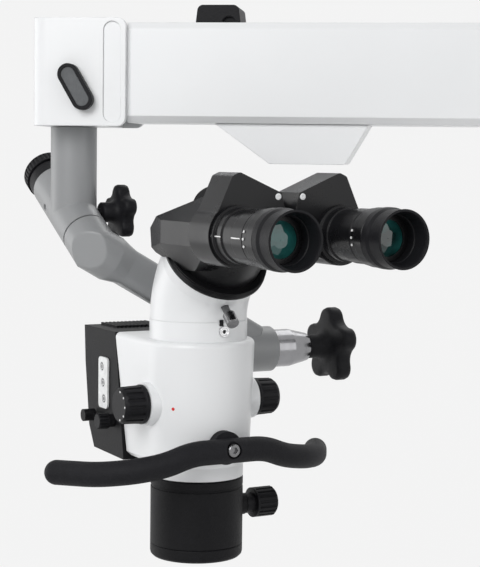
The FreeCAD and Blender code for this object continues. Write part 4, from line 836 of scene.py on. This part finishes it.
class MICROSCOPE_OT_link_arm(bpy.types.Operator):
    """Makes the grey elbow, its bar and the boss that carries the head"""

    bl_idname = "microscope.link_arm"
    bl_label = "Make link arm"

    def execute(self, context):
        mesh = bmesh.new()
        loops = [[mesh.verts.new(point) for point in ring] for ring in link_rings()]
        skin(mesh, loops)
        mesh.faces.new(loops[0])
        mesh.faces.new(loops[-1])
        bmesh.ops.recalc_face_normals(mesh, faces=mesh.faces)
        piece = add_piece("link_elbow", mesh, Matrix.Identity(4), "grey casting", "link", 35)
        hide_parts("link_arm")
        low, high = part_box("tilt_bushes")
        bore = (high[2] - low[2]) / 2 + 0.00005
        rim = BOSS_RADIUS - SOFT_EDGE
        profile = [
            (bore, 0.0),
            (rim, 0.0),
            (BOSS_RADIUS, SOFT_EDGE),
            (BOSS_RADIUS, BOSS_LENGTH - SOFT_EDGE),
            (rim, BOSS_LENGTH),
            (bore, BOSS_LENGTH),
            (bore, 0.0),
        ]
        add_piece("link_boss", lathe(profile, 96), at(*BOSS_END) @ TO_RIGHT, "grey casting", "link")
        profile = [
            (0, 0.0),
            (SPINDLE_RADIUS - SOFT_EDGE, 0.0),
            (SPINDLE_RADIUS, SOFT_EDGE),
            (SPINDLE_RADIUS, SPINDLE_LENGTH),
            (0, SPINDLE_LENGTH),
        ]
        start = LINK_CORNER - INCOMING * SPINDLE_START
        turn = INCOMING.to_track_quat("Z", "Y").to_matrix().to_4x4()
        place = Matrix.Translation(start) @ turn
        add_piece("link_spindle", lathe(profile), place, "turned steel", "link")
        return {"FINISHED"}


class MICROSCOPE_OT_eyepiece_trim(bpy.types.Operator):
    """Adds the box screws, the silver rings and the index lines of the eyepieces"""

    bl_idname = "microscope.eyepiece_trim"
    bl_label = "Add eyepiece trim"

    def execute(self, context):
        for name, side in SIDES:
            body = f"{name}_ocular"
            inward = Vector((-side, 0, 0))
            start = (side * BOX_SCREW_X * MM, -0.24, BOX_SCREW_Z * MM)
            point, normal = surface(f"{name}_prism_box", start, (0, 1, 0))
            profile = [
                (0.0020, -0.0004),
                (0.0020, 0.0002),
                (0.0017, 0.0004),
                (0.0007, 0.0004),
                (0.0007, 0.0001),
                (0, 0.0001),
            ]
            add_piece(f"{name}_box_screw", lathe(profile, 32), facing(point, normal), "screw white", body)
            tube = f"{name}_eye_tube"
            edge, _ = surface(tube, (side * 0.1, TUBE_RING_Y * MM, EYE_Z * MM), inward)
            reach = abs(edge.x) - EYE_X * MM
            ring = band(reach - RING_SINK, reach + 0.0002, -0.001, 0.001)
            place = at(side * EYE_X, TUBE_RING_Y, EYE_Z) @ TO_USER
            add_piece(f"{name}_tube_ring", ring, place, "turned steel", body)
            for line, (first, last) in enumerate(INDEX_LINES):
                steps = [first + (last - first) * k / 3 for k in range(4)]
                spots = [Vector((side * EYE_X, step, EYE_Z)) * MM for step in steps]
                title = f"{name}_index_line_{line}"
                ribbon(title, tube, spots, inward, INDEX_WIDTH, "white ink", body)
        return {"FINISHED"}


class MICROSCOPE_OT_stage(bpy.types.Operator):
    """Sets up the pale floor, the soft light and the camera"""

    bl_idname = "microscope.stage"
    bl_label = "Set the stage"

    def execute(self, context):
        add_floor(context)
        add_world(context)
        add_lamps(context)
        add_camera(context)
        context.scene.view_settings.view_transform = "Standard"
        return {"FINISHED"}


def backdrop_rays(g):
    """1 for what the camera, gloss and glass see, 0 for the light that falls on the object."""
    kinds = ("Camera", "Transmission", "Glossy")
    camera, glass, gloss = (g.node("ShaderNodeLightPath", output=f"Is {kind} Ray") for kind in kinds)
    seen = camera + glass + gloss
    return seen.math("MINIMUM", seen, 1.0)


def add_floor(context):
    """A large pale sweep far below the hanging part."""
    bend = 1.5
    sweep = [(-5.0, 0.0), (3.0, 0.0)]
    for angle in range(10, 91, 10):
        turn = math.radians(angle)
        sweep.append((3.0 + bend * math.sin(turn), bend - bend * math.cos(turn)))
    sweep.append((3.0 + bend, 7.0))
    mesh = bmesh.new()
    rows = []
    for across in (-9.0, 9.0):
        row = []
        for out, up in sweep:
            row.append(mesh.verts.new((across, out, up - FLOOR_DROP)))
        rows.append(row)
    for k in range(len(rows[0]) - 1):
        mesh.faces.new((rows[0][k], rows[1][k], rows[1][k + 1], rows[0][k + 1]))
    data = bpy.data.meshes.new("floor")
    mesh.transform(Matrix.Rotation(-context.scene.microscope_stage.turn, 4, "Z"))
    mesh.to_mesh(data)
    mesh.free()
    item = bpy.data.objects.new("floor", data)
    for face in data.polygons:
        face.use_smooth = True
    context.scene.collection.objects.link(item)
    g = new_finish("pale floor")
    strength = context.scene.microscope_stage.backdrop
    glow = g.node("ShaderNodeEmission", None, Color=(1, 1, 1, 1), Strength=strength)
    matt = g.node("ShaderNodeBsdfDiffuse", None, Color=(0.85, 0.85, 0.85, 1))
    mixed = g.node("ShaderNodeMixShader", None, backdrop_rays(g) * FLOOR_GLOW, matt, glow)
    data.materials.append(g.show("ShaderNodeOutputMaterial", mixed))


def add_world(context):
    """Soft light from all round, and the plain backdrop for what is seen."""
    g = Graph(bpy.data.worlds.new("soft room"))
    strength = context.scene.microscope_stage.backdrop
    room = g.node("ShaderNodeBackground", None, (1, 1, 1, 1), ROOM_LIGHT)
    seen = g.node("ShaderNodeBackground", None, (1, 1, 1, 1), strength)
    mixed = g.node("ShaderNodeMixShader", None, backdrop_rays(g), room, seen)
    context.scene.world = g.show("ShaderNodeOutputWorld", mixed)


def view_axes(stage):
    """Right, up and forward of the camera in the row frame."""
    turn, pitch, roll = stage.turn, stage.pitch, stage.roll
    level = Vector((math.sin(turn), math.cos(turn), 0))
    right = Vector((math.cos(turn), -math.sin(turn), 0))
    forward = level * math.cos(pitch) - Vector((0, 0, math.sin(pitch)))
    up = Vector((0, 0, math.cos(pitch))) + level * math.sin(pitch)
    level_right = right * math.cos(roll) + up * math.sin(roll)
    return level_right, up * math.cos(roll) - right * math.sin(roll), forward


def add_lamps(context):
    """A broad key light near the camera, and weaker lights round the object."""
    right, up, forward = view_axes(context.scene.microscope_stage)
    middle = Vector((0.02, -0.03, 0.2))
    for name, where, size, power in (
        ("key light", right * -0.75 + up * 0.75 - forward * 1.5, 1.0, 20.0),
        ("fill light", right * 1.4 + up * 0.2 - forward * 1.0, 1.2, 4.0),
        ("back light", right * 0.5 + up * 1.2 + forward * 0.9, 0.9, 4.0),
        ("left rim", right * -1.4 + up * 0.1 + forward * 0.5, 0.9, 4.0),
    ):
        data = bpy.data.lights.new(name, "AREA")
        data.size = size
        data.energy = power
        lamp = bpy.data.objects.new(name, data)
        lamp.location = middle + where
        lamp.rotation_euler = (-where).to_track_quat("-Z", "Y").to_euler()
        context.scene.collection.objects.link(lamp)


def add_camera(context):
    """The photograph's view: turn, pitch and roll, with the collar where it is seen."""
    stage = context.scene.microscope_stage
    right, up, forward = view_axes(stage)
    across, down = (spot - middle for spot, middle in zip(COLLAR_SPOT, PICTURE_MIDDLE))
    sight = forward + right * across / FOCAL - up * down / FOCAL
    data = bpy.data.cameras.new("photo camera")
    data.lens = stage.lens
    data.sensor_fit = "HORIZONTAL"
    data.sensor_width = stage.lens * 2 * PICTURE_MIDDLE[0] / FOCAL
    data.clip_end = 50.0
    camera = bpy.data.objects.new("photo camera", data)
    rows = Matrix((right, up, -forward)).transposed().to_4x4()
    camera.matrix_world = Matrix.Translation(Vector((0, 0, COLLAR_HEIGHT)) - sight * stage.depth) @ rows
    context.scene.collection.objects.link(camera)
    context.scene.camera = camera


class MICROSCOPE_PT_panel(bpy.types.Panel):
    """Lists the microscope's pieces"""

    bl_idname = "MICROSCOPE_PT_panel"
    bl_label = "Microscope"
    bl_space_type = "VIEW_3D"
    bl_region_type = "UI"
    bl_category = "Microscope"

    def draw(self, context):
        column = self.layout.column()
        for group in SETTINGS:
            settings = getattr(context.scene, group)
            for key in settings.bl_rna.properties.keys():
                if key not in ("rna_type", "name"):
                    column.prop(settings, key)
        for operator in PIECES:
            column.operator(operator.bl_idname)


SETTINGS = {
    "microscope_paint": PaintSettings,
    "microscope_marks": MarkSettings,
    "microscope_stage": StageSettings,
}
PIECES = (
    MICROSCOPE_OT_finishes,
    MICROSCOPE_OT_marks,
    MICROSCOPE_OT_eyepiece_trim,
    MICROSCOPE_OT_star_knobs,
    MICROSCOPE_OT_link_arm,
    MICROSCOPE_OT_stage,
)


def register():
    for item in (*SETTINGS.values(), *PIECES, MICROSCOPE_PT_panel):
        bpy.utils.register_class(item)
    for name, group in SETTINGS.items():
        setattr(bpy.types.Scene, name, PointerProperty(type=group))


def unregister():
    for name in SETTINGS:
        delattr(bpy.types.Scene, name)
    for item in reversed((*SETTINGS.values(), *PIECES, MICROSCOPE_PT_panel)):
        bpy.utils.unregister_class(item)


def main():
    register()
    for operator in PIECES:
        group, name = operator.bl_idname.split(".")
        getattr(getattr(bpy.ops, group), name)()
    bpy.context.view_layer.update()


if __name__ == "__main__":
    main()
